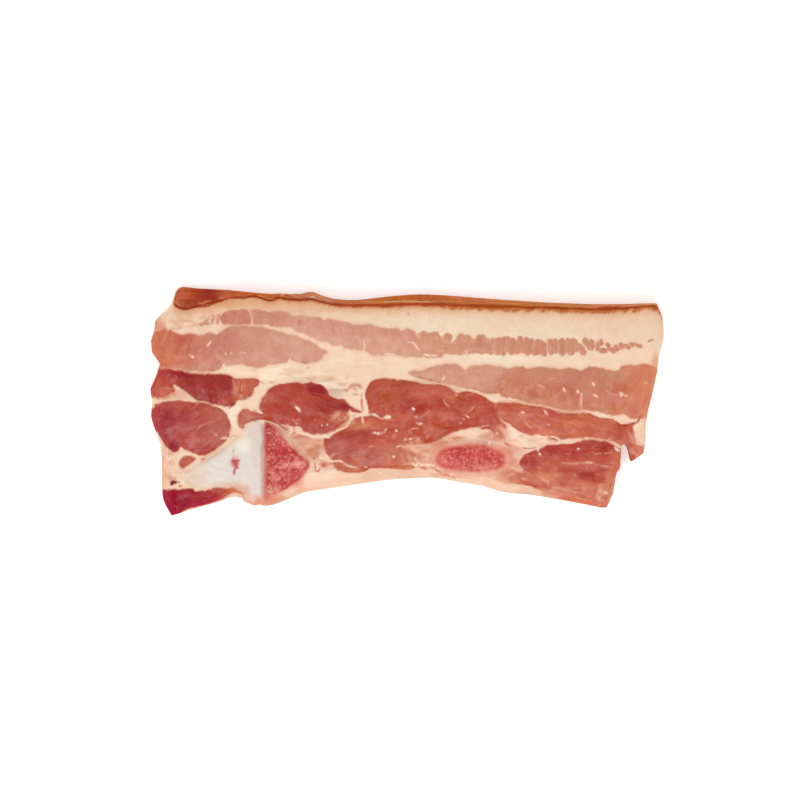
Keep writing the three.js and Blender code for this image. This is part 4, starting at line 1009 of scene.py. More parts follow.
for part, keep in KEPT.items():
    thin_out(belly, part_of(belly) == part, keep)
places = places_of(belly)
normals = read(belly.data.vertex_normals, "vector")
hidden = ramp(MEAT_TOP - places[:, 2], RIM, RIM + 1) * (1 - ramp(abs(normals[:, 2]), 0.4, 0.8))
hidden *= (places[:, 0] > ENDS[0]) & (places[:, 0] < ENDS[1])
places[:, :2] -= SET_BACK * hidden[:, None] * normals[:, :2]
move_points(belly, places)
print("belly:", triangles(belly), "triangles")

# %% [markdown]
# ## Painting the plan
# The tone of every point is built up as on the real slice: fat first, then the muscles over it, the
# bundles of the streaky end, the bones, and then the seams and flecks. Each layer also says what the
# surface is, so that the finish and the relief can follow: lean, bone, and how far it stands up.

# %% Layers of paint
MUSCLE_EDGE = 0.2  # half the width of a muscle's soft edge
WASH_PULL = 9.0  # how strongly the middle of a wash pulls at the tone
# Tones that the layers mix in.
TINTS = {
    # the second and third tints are painted shade in the clefts between curds of fat and painted highlight
    # on the curds' raised tops
    "membrane": (226, 168, 138), "cleft": (217, 160, 126), "lit_curd_top": (250, 228, 205),
    "loose": (214, 146, 120), "loose_pale": (236, 186, 160), "loose_red": (200, 108, 82),
    "wide_stain": (222, 170, 132), "near_stain": (211, 146, 102),
    "fringe": (204, 124, 80), "golden_fringe": (188, 104, 48),
    "lining": (216, 156, 128), "pale_lining": (232, 194, 166),
}


def tint(name):
    """A tint as paint."""
    return linear(TINTS[name])


def between(first, second, share):
    """The tints between two, by the share that each point has of the second."""
    return tint(first) + share * (tint(second) - tint(first))


def washed(plan, tone, washes):
    """The tone at each point of a plan, pulled towards the washes that lie near it."""
    colour = np.tile(linear(tone), (len(plan), 1))
    weight = np.ones(len(plan))
    for x, y, wide, high, wash in washes:
        reach = ((plan[:, 0] - x) / wide) ** 2 + ((plan[:, 1] - y) / high) ** 2
        pull = WASH_PULL * np.exp(-1.5 * reach)
        colour += pull[:, None] * linear(wash)
        weight += pull
    return colour / weight[:, None]


class Canvas:
    """The paint on a set of points: tone, what the surface is, and its relief in millimetres."""

    def __init__(self, places):
        self.places = places
        waver = np.stack([cloud(places, 2.6, seed, 2) for seed in (1, 2)], axis=1)
        self.plan = places[:, :2] + PLAN_SHIFT
        fray = np.stack([cloud(places, 0.9, seed) for seed in (3, 4)], axis=1)
        self.bent = self.plan + 0.24 * waver + 0.17 * fray
        self.tone = washed(self.bent, FAT_TONE, FAT_WASHES)
        self.lean, self.bone, self.marrow, self.relief = np.zeros((4, len(places)))
        self.angle = np.full(len(places), 80.0)

    def cover(self, share, colour):
        """Lays a colour over the share of each point."""
        self.tone += share[:, None] * (colour - self.tone)


print(len(TINTS), "tints")

# %% Laying the muscles
def paint_muscles(canvas):
    """Lays the muscles over the fat. Each dips at its border and swells inside it."""
    for muscle in MUSCLES.values():
        depth = depth_inside(canvas.bent, curve_through(muscle["outline"]))
        share = ramp(depth, -MUSCLE_EDGE, MUSCLE_EDGE)
        canvas.cover(share, washed(canvas.bent, muscle["tone"], muscle["washes"]))
        canvas.lean += share * (1 - canvas.lean)
        canvas.angle = np.where(share > 0.5, muscle["fibres"], canvas.angle)
        canvas.relief += share * (muscle["rise"] * ramp(depth, 0, 1.8) - 0.04)
        membrane = np.exp(-((depth + 0.25) / 0.35) ** 2) * (1 - share)
        canvas.cover(0.3 * membrane, tint("membrane"))


print("muscles stand up to", max(m["rise"] for m in MUSCLES.values()), "mm over their border")

# %% Laying the bundles
BUNDLE_SHADES = np.random.default_rng(5).uniform(0.97, 1.03, len(BUNDLES))


def paint_bundles(canvas):
    """Lays the upright bundles of the streaky end, with a pale line between those that meet."""
    first = np.full(len(canvas.plan), -1.0)
    second = first.copy()
    tone = np.ones(len(canvas.plan))
    for (x0, y0, x1, y1, half), shade in zip(BUNDLES, BUNDLE_SHADES):
        middle = np.array([(x0, y0), (x1, y1)])
        depth = half + 0.12 - distance_to(canvas.bent, middle, half + 1)[0]
        nearest = depth > first
        second = np.where(nearest, first, np.maximum(second, depth))
        first = np.where(nearest, depth, first)
        tone = np.where(nearest, shade, tone)
    share = ramp(first, -MUSCLE_EDGE, MUSCLE_EDGE)
    start, end = (linear(colour) for colour in BUNDLE_TONES)
    blend = ramp(canvas.plan[:, 0], -5, 30)[:, None]
    canvas.cover(share, (start + blend * (end - start)) * tone[:, None])
    canvas.lean += share * (1 - canvas.lean)
    canvas.angle = np.where(share > 0.5, 92, canvas.angle)
    canvas.relief += share * (0.14 * ramp(first, 0, 1) - 0.06)
    line = share * (1 - ramp(first - second, 0.05, 0.4)) * ramp(second, -0.1, 0.1)
    line *= ramp(cloud(canvas.places, 2.4, 62), -0.25, 0.25)
    canvas.cover(0.55 * line, linear(PAINTS["sinew"][0]))
    canvas.relief -= 0.06 * line


print("shades of the bundles:", BUNDLE_SHADES.min().round(3), "to", BUNDLE_SHADES.max().round(3))

# %% Laying the bones
def paint_bones(canvas):
    """Lays the cut faces of cartilage and bone."""
    for name, bone in BONES.items():
        depth = depth_inside(canvas.bent, curve_through(bone["outline"]))
        share = ramp(depth, -bone["soft"], bone["soft"])
        canvas.cover(share, washed(canvas.bent, bone["tone"], bone["washes"]))
        canvas.lean *= 1 - share
        canvas.bone += share * (1 - canvas.bone)
        if name in ("rib_tip", "marrow"):
            canvas.marrow = np.maximum(canvas.marrow, ramp(depth, -0.1, 1.1))


print("soft borders of the bones:", {name: bone["soft"] for name, bone in BONES.items()})

# %% [markdown]
# ## Curds and loose tissue
# Cold fat breaks into curds, and loose pink tissue without a border lies between some muscles.
# No outline could follow their shreds, so each is a cloud of noise, laid where a table places it.

# %% Laying the curds
def paint_flakes(canvas):
    """Breaks the soft fat into curds, with painted highlight on their raised tops and painted peach shade in
    the clefts between them.
    """
    curdled = np.zeros(len(canvas.plan))
    for x, y, wide, high, strength in FLAKES:
        reach = ((canvas.bent[:, 0] - x) / wide) ** 2 + ((canvas.bent[:, 1] - y) / high) ** 2
        curdled = np.maximum(curdled, strength * np.exp(-1.5 * reach**2))
    curdled *= 1 - canvas.lean
    lumps = cloud(canvas.places, (2.6, 0.95, 1.5), 71, 3)
    cleft = 1 - ramp(lumps, -0.42, 0.02)
    canvas.cover(0.6 * curdled * cleft, tint("cleft"))
    canvas.cover(0.6 * curdled * ramp(lumps, 0.05, 0.4), tint("lit_curd_top"))
    canvas.relief += curdled * (0.14 * lumps - 0.05 * cleft)


print("clefts are", TINTS["cleft"], "and curds", TINTS["lit_curd_top"])

# %% Loose tissue
STRAND = (3.4, 0.8)  # the blobs of a strand: along and across
# Where loose tissue blurs the borders: x, y, half width, half height, how its strands run, how much.
LOOSE = [
    (1.8, -14.5, 3.4, 4.2, -38, 1), (2.4, -10.8, 2.4, 1.2, -20, 0.5), (0, -17.8, 3, 0.8, -8, 0.6),
    (-25.8, -13, 3.4, 3.4, 30, 0.7), (25.6, -9, 2.6, 2.4, -48, 1), (29.6, -19.8, 4, 2.2, -25, 0.8),
    (53.6, -25.2, 2.6, 3.4, 70, 0.9), (60.5, -11.5, 2.6, 3.4, -65, 0.6), (-37, -27.4, 4.4, 1.6, 8, 0.5),
    (-18, -4.6, 3, 1.8, 35, 0.8), (-14, -6.4, 3, 1.2, 30, 0.5), (10, -20, 5, 1, -12, 0.8),
    (-45.5, 3, 1.8, 3, 80, 0.5), (-64.5, 2.4, 4, 1.4, -15, 0.5), (-22, -17.2, 2.4, 1.6, 20, 0.7),
    (43, -24.8, 7, 1.6, -8, 0.6),
]


def paint_loose(canvas):
    """Lays the pale and the red strands of loose tissue over whatever meets there."""
    for x, y, wide, high, turn, strength in LOOSE:
        beside, above = canvas.bent[:, 0] - x, canvas.bent[:, 1] - y
        share = strength * np.exp(-1.5 * ((beside / wide) ** 2 + (above / high) ** 2) ** 1.5)
        c, s = math.cos(math.radians(turn)), math.sin(math.radians(turn))
        along, across = beside * c + above * s, above * c - beside * s
        strands = np.stack([along / STRAND[0], across / STRAND[1], 0 * above], axis=1)
        lumps = cloud(strands, 1, 81, 2)
        canvas.cover(0.8 * strength * share, tint("loose"))
        canvas.cover(0.7 * share * ramp(lumps, 0.02, 0.34), tint("loose_pale"))
        canvas.cover(0.6 * share * ramp(-lumps, 0.04, 0.4), tint("loose_red"))
        canvas.relief += 0.12 * share * lumps


print(len(LOOSE), "patches of loose tissue")

# %% [markdown]
# ## Laying the strokes
# A stroke is a curve, and its paint lies wherever the slice is near it. It thins towards its ends
# and breaks up a little, as real seams do. The smallest flecks are many, so seeded chance lays them.

# %% Seams and creases
THINNEST = 0.17  # a thinner stroke gets fainter instead
# How much of a stroke the cloud breaks up.
BROKEN = {"cream": 0.5, "sinew": 0.85, "haze": 0.85, "brown": 0.5, "crease": 0.4, "rust": 0.6}


def paint_strokes(canvas, strokes):
    """Lays seams, flecks and painted glints: tapered strokes, pale ones raised and dark ones cut in, creases
    as painted shade.
    """
    broken = ramp(cloud(canvas.places, 0.9, 61), -0.5, 0.15)
    steadier = canvas.bent - 0.5 * (canvas.bent - canvas.plan)  # thin lines waver less
    for kind, half, *points in strokes:
        colour, strength, stand = PAINTS[kind]
        line = curve_through(points, closed=False, steps=4)
        distance, along = distance_to(steadier, line, 3 * half + 0.5)
        taper = np.sqrt(np.sin(math.pi * np.clip(along, 0.02, 0.98)))
        wide = max(half, THINNEST) * (0.55 + 0.45 * taper)
        share = (1 - ramp(distance, 0.3 * wide, 1.7 * wide)) * min(1, half / THINNEST)
        share *= 1 - BROKEN.get(kind, 0) * (1 - broken)
        share *= canvas.marked
        canvas.cover(share * strength, linear(colour))
        canvas.relief += share * stand
        if kind in ("cream", "sinew"):
            canvas.lean *= 1 - 0.7 * share


print("kinds of paint that break up:", *BROKEN)

# %% Flecks and glints
# Where bright wet glints are painted as highlights: x and y.
PAINTED_GLINT_SPOTS = [
    (-23.1, -6.7), (-21.6, -6.5), (-3, -8.3), (-7.9, -8.9), (-6, -7.9), (1.9, -2.3), (0.8, -10.5),
    (-3.7, -15.1), (-11, -17.9), (2.5, -17.7), (3.6, -17.9), (5.6, -17.5), (8.6, -18.6), (-7.2, -19.9),
    (22.4, -11.2), (35.5, -13.2), (36, -14.5), (31.4, -3.2), (-4.6, -4.5), (-8.6, -8.7), (16.4, -4.4),
    (24.6, -9), (2.6, -4.3), (-29.7, -2), (46.6, -13), (53.6, -25), (57, -13.2),
]
# How many flecks each muscle has.
FLECKED = {
    "outer_belly": 16, "inner_flank": 8, "round_muscle": 14, "inner_belly": 16, "belly_middle": 40,
    "rib_muscle": 26, "rib_muscle_low": 26,
}
FLECK_ENDS = 68  # no fleck lies past this x, at either end
rng = np.random.default_rng(12)


def scattered_flecks():
    """Short pale flecks along the fibres of each muscle, at seeded places inside its outline."""
    flecks = []
    for name, count in FLECKED.items():
        outline = curve_through(MUSCLES[name]["outline"])
        low, high = np.clip([outline.min(0), outline.max(0)], -FLECK_ENDS, FLECK_ENDS)
        spots = rng.uniform(low, high, (4 * count, 2))
        spots = spots[depth_inside(spots, outline) > 0.5][:count]
        for spot in spots:
            turn = math.radians(MUSCLES[name]["fibres"] + rng.normal(0, 22))
            reach = rng.uniform(0.08, 0.35) * np.array([math.cos(turn), math.sin(turn)])
            flecks.append(("haze", rng.uniform(0.06, 0.14), spot - reach, spot + reach))
    return flecks


def glints():
    """A short stroke of painted highlight at each glint spot, turned at random."""
    strokes = []
    for x, y in PAINTED_GLINT_SPOTS:
        half = rng.uniform(0.12, 0.2)
        across = rng.uniform(-0.4, 0.4)
        up = rng.uniform(-0.3, 0.3)
        strokes.append(("spark", half, (x, y), (x + across, y + up)))
    return strokes


FLECKS = scattered_flecks()
GLINTS = glints()
print(len(FLECKS), "scattered flecks and", len(GLINTS), "glints")

# %% [markdown]
# ## The rind and the lining
# Smoke has coloured the skin orange-brown outside and dark brown where it is cut. Just inside, the
# stain runs into the fat in slanted teeth. The other long side is the lining of the rib cage, a wet
# pink sheet that is hardly thicker than a line.

# %% Laying the rind
def paint_rind(canvas, from_rind, normals):
    """Lays the stained fat, its toothed fringe, the cut skin, the skin's outer face and painted highlights
    on the skin.
    """
    x, places = canvas.plan[:, 0], canvas.places
    fat = 1 - canvas.lean
    thick = along_rind(x, 1)[:, 0] * (1 + 0.25 * cloud(places, 1.6, 25))
    past_skin = from_rind - thick
    golden = ramp(x, 4, 16)
    slanted = np.stack([x + 0.9 * from_rind, 0 * x, 0 * x], axis=1)
    comb = cloud(slanted, (0.5, 1, 1), 9) + 0.7 * cloud(places, 1.1, 8, 2)
    stained = np.maximum(past_skin, 0)
    canvas.cover(0.4 * fat * np.exp(-(stained / 3.2) ** 2), tint("wide_stain"))
    canvas.cover(0.75 * fat * np.exp(-(stained / 1.2) ** 1.5), tint("near_stain"))
    fringe = between("fringe", "golden_fringe", golden[:, None])
    reach = 0.3 + 0.32 * golden + (0.16 + 0.3 * golden) * comb
    fringed = ramp(x, -62, -50) * (0.7 + 0.2 * golden) * (1 - ramp(past_skin, reach - 0.35, reach + 0.4))
    canvas.cover(fringed * fat, fringe)
    mottle = 1 + 0.16 * cloud(places, 1.1, 21, 2) + 0.1 * cloud(places, 4, 22)
    mottle += 0.2 * cloud(places, (4, 0.6, 0.6), 26, 2)
    in_cut = (1 - ramp(past_skin, -0.16, 0.2)) * ramp(places[:, 0], SKIN_FROM + 0.1, SKIN_FROM + 0.7)
    canvas.cover(0.95 * in_cut, linear(along_rind(x, 2)) * mottle[:, None])
    outer = (from_rind < 0.2) * (normals[:, 1] > 0.2) * (1 - ramp(abs(normals[:, 2]), 0.62, 0.8))
    outer *= ramp(places[:, 0], SKIN_FROM - 0.2, SKIN_FROM + 0.4) * ramp(normals[:, 0], -0.75, -0.5)
    canvas.cover(outer, linear(along_rind(x, 3)) * mottle[:, None] ** 1.4)
    skin = np.maximum(in_cut, outer)
    canvas.lean *= 1 - skin
    canvas.skin = skin
    wrinkles = 0.10 * cloud(places, (2.6, 2.6, 1.2), 23, 2) + 0.05 * cloud(places, 0.8, 24)
    canvas.relief += outer * wrinkles + 0.08 * in_cut * (1 - outer)
    paint_strokes(canvas, SKIN_STROKES)

print(len(SKIN_STROKES), "strokes on the skin")

# %% Laying the lining
def paint_lining(canvas, from_ribs, normals):
    """Lays the pale wet sheet along the side of the ribs."""
    side = (from_ribs < 0.3) * (1 - ramp(abs(normals[:, 2]), 0.5, 0.8)) * (1 - canvas.lean)
    streaks = ramp(cloud(canvas.places, (6, 6, 3), 31, 2), -0.5, 0.5)[:, None]
    sheet = between("lining", "pale_lining", streaks)
    canvas.cover(side * (0.2 + 0.3 * ramp(MEAT_TOP - canvas.places[:, 2], 6, 9)), sheet)
    canvas.relief += side * 0.15 * cloud(canvas.places, (4, 4, 2.2), 32, 2)


print("the lining is", TINTS["lining"], "to", TINTS["pale_lining"])

# %% [markdown]
# ## From paint to surface
# The finished canvas is stored on the mesh as named attributes, which the finishes read, and the
# relief moves each point along its normal. Attributes were chosen over textures because they follow
# the points wherever the surface goes.

# %% Every layer in order
BUNDLE = (1.5, 4.5, 2.5)  # a bundle of fibres: across, along and through
RIND_NEAR = 12  # only past this y is a point near the skin
RIBS_NEAR = -8  # only below this y is a point near the lining


def painted_canvas(places, normals):
    """A canvas with every layer of paint laid on it."""
    from_rind = distance_from("rind", places, places[:, 1] > RIND_NEAR)
    from_ribs = distance_from("ribs", places, places[:, 1] < RIBS_NEAR)
    canvas = Canvas(places)
    end_wall = ramp(abs(normals[:, 0]), 0.6, 0.9) * ramp(MEAT_TOP - places[:, 2], 0.5, 2)
    canvas.marked = 1 - end_wall  # strokes fade out down the end walls
    paint_muscles(canvas)
    paint_bundles(canvas)
    paint_flakes(canvas)
    paint_loose(canvas)
    paint_bones(canvas)
    paint_strokes(canvas, STROKES + FLECKS + GLINTS)
    paint_lining(canvas, from_ribs, normals)
    paint_rind(canvas, from_rind, normals)
    return canvas


def fibre_places(canvas):
    """Where each point lies among the fibres, counted in bundles: across, along and through."""
    turn = np.radians(canvas.angle)
    along = canvas.bent[:, 0] * np.cos(turn) + canvas.bent[:, 1] * np.sin(turn)
    across = canvas.bent[:, 1] * np.cos(turn) - canvas.bent[:, 0] * np.sin(turn)
    return np.stack([across, along, canvas.places[:, 2]], axis=1) / BUNDLE


print("a bundle of fibres is", BUNDLE, "mm: across, along and through")

# %% Attributes and relief
SIDE_RELIEF = 0.4  # the relief is weaker on the sides than on the cut face


def store(piece, name, kind, values):
    """Stores a point attribute on a piece."""
    key = {"FLOAT": "value", "FLOAT_VECTOR": "vector", "FLOAT_COLOR": "color"}[kind]
    attribute = piece.data.attributes.new(name, kind, "POINT")
    attribute.data.foreach_set(key, np.ascontiguousarray(values, np.float32).ravel())


def dress(piece):
    """Paints a piece, moves its points by the relief and stores what its finish needs."""
    places = places_of(piece)
    normals = read(piece.data.vertex_normals, "vector")
    canvas = painted_canvas(places, normals)
    lean, bone, fibre = canvas.lean, canvas.bone, fibre_places(canvas)
    fat = (1 - lean) * (1 - bone) * (1 - canvas.skin)
    curds = cloud(places, 2.2, 53, 3)
    canvas.tone *= 1 + (fat * curds)[:, None] * (0.03, 0.06, 0.09)
    grain = lean * (1 - 0.72 * ramp(canvas.tone[:, 1], 0.12, 0.26))  # pale lean shows less grain
    patches = 0.4 * cloud(places, 5, 51, 2) + 0.5 * cloud(fibre, 1.1, 47, 3) + 0.35 * cloud(places, 1, 52, 2)
    canvas.tone *= 1 + (grain * patches)[:, None] * (0.22, 0.56, 0.46)
    cracks = 1 - ramp(abs(cloud(fibre, 1.4, 45, 2)), 0.0, 0.14)
    fissure = grain * cracks * ramp(cloud(places, 5, 46), -0.1, 0.4)
    canvas.tone *= 1 - 0.16 * fissure[:, None] * (0.7, 1.1, 1.1)
    relief = canvas.relief - 0.05 * fissure
    relief += 0.05 * lean * cloud(fibre, 0.5, 41, 2) + 0.05 * lean * cloud(fibre, 1.6, 42)
    relief += fat * (0.07 * cloud(places, 6, 43) + 0.035 * cloud(places, 1.8, 44, 2))
    relief += bone * (0.05 * cloud(places, 1.2, 45, 2))
    top = ramp(normals[:, 2], 0.3, 0.8)
    relief *= SIDE_RELIEF + (1 - SIDE_RELIEF) * top
    move_points(piece, places + relief[:, None] * normals)
    opaque = np.ones((len(places), 1))
    store(piece, "tone", "FLOAT_COLOR", np.hstack([np.clip(canvas.tone, 0, 1), opaque]))
    wet = 0.02 + top * (0.14 + 0.24 * lean + 0.2 * bone)
    kept = {"lean": lean, "grain": grain, "marrow": canvas.marrow, "skin": canvas.skin, "wet": wet}
    for name, values in kept.items():
        store(piece, name, "FLOAT", values)
    store(piece, "fibre", "FLOAT_VECTOR", fibre)
    only(piece)
    bpy.ops.object.shade_smooth()
    print(piece.name, "relief from", relief.min().round(3), "to", relief.max().round(3), "mm")


dress(belly)

# %% [markdown]
# ## The rind and the lining as sheets
# The two long sides are seen whole, so each gets a sheet of its own, finer than the meat behind it.
# A grid is stood beside the slice and pressed onto its side by a Shrinkwrap. Its last rows are then
# folded over the rim onto the cut face, where the skin shows as a line, and Solidify closes it.

# %% The shape to press on
slice_shape = merged_copy("belly_meat", "slice_shape")
for node in ("rib_cartilage", "rib_end", "rib_section"):
    merged_copy(node, "bone_shape").select_set(True)
    slice_shape.select_set(True)
    bpy.context.view_layer.objects.active = slice_shape
    bpy.ops.object.join()
shape_faces = [tuple(p.vertices) for p in slice_shape.data.polygons]
slice_tree = BVHTree.FromPolygons(places_of(slice_shape).tolist(), shape_faces)
print("the shape to press on has", len(shape_faces), "faces")

# %% How high a sheet may stand
OUTSIDE = 32  # a y outside the slice, where looking inward begins
ABOVE = 30  # a height over the slice, to look down from
LOOK_STEP = 0.2  # from one look to the next
LOOK_REACH = 20  # how far inward the looking goes
RIM_HEIGHT = 11  # the rim is at least this high
FLAT_STEPS = 7  # and over this many steps inward
FLAT_RISE = 0.4  # the slice rises by less than this
RIM_DROP = 0.3  # a sheet turns inward this much below it


def middle_of_nine(table):
    """The median of each value and its four neighbours to each side, along the rows."""
    padded = np.pad(table, ((0, 0), (4, 4)), mode="edge")
    return np.median([padded[:, k:k + table.shape[1]] for k in range(9)], axis=0)


def heights_inward(columns, side):
    """How high the slice is at each x of the columns, in steps inward from outside a long side."""
    inward = np.arange(0, LOOK_REACH, LOOK_STEP)
    heights = np.zeros((len(inward), len(columns)))
    for i, step in enumerate(inward):
        for j, x in enumerate(columns):
            hit = slice_tree.ray_cast((x, side * (OUTSIDE - step), ABOVE), (0, 0, -1))[0]
            heights[i, j] = hit[2] if hit else 0
    wide = np.pad(heights, ((1, 1), (0, 0)), mode="edge")
    return middle_of_nine(np.maximum(heights, np.maximum(wide[:-2], wide[2:])))


def rim_tops(heights):
    """How high a sheet may stand at each column: a little below where the slice becomes flat."""
    further_in = np.vstack([heights[FLAT_STEPS:], heights[-FLAT_STEPS:]])
    rim = np.argmax((heights > RIM_HEIGHT) & (further_in - heights < FLAT_RISE), axis=0)
    return middle_of_nine(heights[rim, range(heights.shape[1])][None])[0] - RIM_DROP


print("a lone spike of 1 is smoothed to", middle_of_nine(np.eye(1, 9, 4)).max())

# %% Pressing a grid onto a side
ASIDE = 60  # a sheet is made this far to the side, and pressed on from there
SLIP = 0.7  # a ray that jumps by more than this has slipped


def grid_beside(name, start, end, side, columns, rows):
    """An upright grid beside the slice, with its rows a millimetre apart."""
    bpy.ops.object.select_all(action="DESELECT")
    bpy.ops.mesh.primitive_grid_add(x_subdivisions=columns, y_subdivisions=rows, size=MM)
    sheet = bpy.context.object
    sheet.name = sheet.data.name = name
    sheet.rotation_euler = (math.radians(90), 0, math.radians(90 + 90 * side))
    sheet.scale = (end - start, rows, 1)
    sheet.location = Vector(((start + end) / 2, ASIDE * side, rows / 2)) * MM
    bpy.ops.object.transform_apply(location=True, rotation=True, scale=True)
    return sheet


def press_across(sheet, side):
    """Presses a sheet straight onto the slice, along y."""
    press = sheet.modifiers.new("press", "SHRINKWRAP")
    press.wrap_method = "PROJECT"
    press.use_project_y = True
    press.use_positive_direction = side < 0
    press.use_negative_direction = side > 0
    press.target = slice_shape
    bpy.ops.object.modifier_apply(modifier=press.name)


def without_slips(pressed, rows):
    """The rows of a pressed sheet, worked from the middle, with each slipped ray put back in line."""
    middle = rows // 2
    for order in (range(middle + 1, rows + 1), range(middle - 1, -1, -1)):
        before = middle
        for r in order:
            slipped = abs(pressed[r] - pressed[before]) > SLIP
            pressed[r] = np.where(slipped, pressed[before], pressed[r])
            before = r
    return middle_of_nine(pressed)


print("a slip of 5 mm goes back to", without_slips(np.diag([0.0, 0.0, 5.0]), 2).max())

# %% Sheets on the two long sides
SHEET_CELL = 0.26
SHEET_THICK = 0.4
SHEET_STAND = 0.05  # how far a sheet stands outside the meat
FOOT = 0.1  # how high the foot of a sheet stands
END_EASE = 1.6  # over this length the ends of a sheet are drawn in
TUCK = 0.32  # how deep the edge of a sheet is tucked into the meat


def pressed_sheet(name, start, end, side, fold):
    """A sheet on a long side, from x start to end. It folds over the rim by `fold` millimetres."""
    columns = int((end - start) / SHEET_CELL)
    rows, over = int((MEAT_TOP - 0.4) / SHEET_CELL), int(fold / LOOK_STEP)
    heights = heights_inward(np.linspace(start, end, columns + 1), side)
    sheet = grid_beside(name, start, end, side, columns, rows + over)
    places = places_of(sheet)
    row = np.round(places[:, 2]).astype(int)
    column = np.round((places[:, 0] - start) / (end - start) * columns).astype(int)
    places[:, 2] = FOOT + np.minimum(row, rows) / rows * (rim_tops(heights)[column] - FOOT)
    move_points(sheet, places)
    press_across(sheet, side)
    pressed = np.zeros((rows + over + 1, columns + 1))
    pressed[row, column] = places_of(sheet)[:, 1]
    pressed = without_slips(pressed, rows)
    inward = LOOK_STEP * np.clip(row - rows, 0, None)
    at_end = 1 - ramp(np.minimum(places[:, 0] - start, end - places[:, 0]), 0, END_EASE)
    places[:, 1] = pressed[np.minimum(row, rows), column] - side * (inward + 0.3 * at_end)
    look = np.clip((OUTSIDE - side * places[:, 1]) / LOOK_STEP, 0, len(heights) - 1.001)
    lower, share = look.astype(int), look % 1
    level = heights[lower, column] * (1 - share) + heights[lower + 1, column] * share
    level -= TUCK * np.maximum(ramp(inward, fold - 0.5, fold), at_end)
    places[:, 2] = np.where(inward > 0, level, places[:, 2])
    print(name, "lies between y =", places[:, 1].min().round(2), "and", places[:, 1].max().round(2))
    move_points(sheet, places)
    thicken = sheet.modifiers.new("thicken", "SOLIDIFY")
    thicken.thickness = SHEET_THICK * MM
    thicken.offset = -1 + 2 * SHEET_STAND / SHEET_THICK
    bpy.ops.object.modifier_apply(modifier=thicken.name)
    print(name, triangles(sheet), "triangles")
    return sheet


rind = pressed_sheet("rind", -62.9, 68.3, 1, 1.4)
lining = pressed_sheet("rib_lining", -64.5, 55.9, -1, 0.6)
bpy.data.objects.remove(slice_shape)
dress(rind)
dress(lining)

# %% [markdown]
# ## The bones
# The bones sit in pockets of the meat, with a hair of play in the model. On the real slice nothing
# gaps, so each bone is spread sideways until it meets the meat, and its rim sinks below the cut.

# %% Bones that meet the meat
BONE_CELL = 0.26
SPREAD = 0.75  # how far a bone is spread sideways
PROUD = 0.12  # how far the middle of a bone stands over the meat
RIM_SINK = 0.22  # how far its rim sinks
RIM_WIDE = 0.7  # how wide the sunken rim is


def seated_bone(node, name):
    """A fine copy of a bone, spread to its pocket, with its rim sunk below the cut."""
    bone = fine_copy(node, name, BONE_CELL)
    places = places_of(bone)
    normals = read(bone.data.vertex_normals, "vector")
    sideways = normals[:, :2] * (1 - ramp(abs(normals[:, 2]), 0.7, 0.95))[:, None]
    places[:, :2] += SPREAD * sideways
    wall = wall_of(bone, places)
    rim = np.clip(1 - wall / RIM_WIDE, 0, 1)
    half = THICK / 2
    from_middle = places[:, 2] - half
    level = (MEAT_TOP + PROUD - half) / abs(from_middle).max()
    sunk = RIM_SINK * rim * np.sign(from_middle) * ramp(abs(from_middle), 5, 7)
    places[:, 2] = half + from_middle * level - sunk
    move_points(bone, places)
    return bone


def wall_of(bone, places):
    """Millimetres from each place to the upright wall of its bone."""
    faces = [tuple(p.vertices) for p in bone.data.polygons if abs(p.normal[2]) < 0.5]
    tree = BVHTree.FromPolygons(places.tolist(), faces)
    return np.array([tree.find_nearest(place)[3] for place in places.tolist()])


cartilage = seated_bone("rib_cartilage", "rib_cartilage_cut")
rib_tip = seated_bone("rib_end", "rib_tip_cut")
rib_slice = seated_bone("rib_section", "rib_slice_cut")
for bone in (cartilage, rib_tip, rib_slice):
    dress(bone)
    print(bone.name, triangles(bone), "triangles")

# %% [markdown]
# ## Writing finishes as sums
# A finish is a net of nodes, and most of its nodes are sums. One small class wraps a socket, so that
# the sums can be written as Python sums. Any other node comes from its one method `node`.

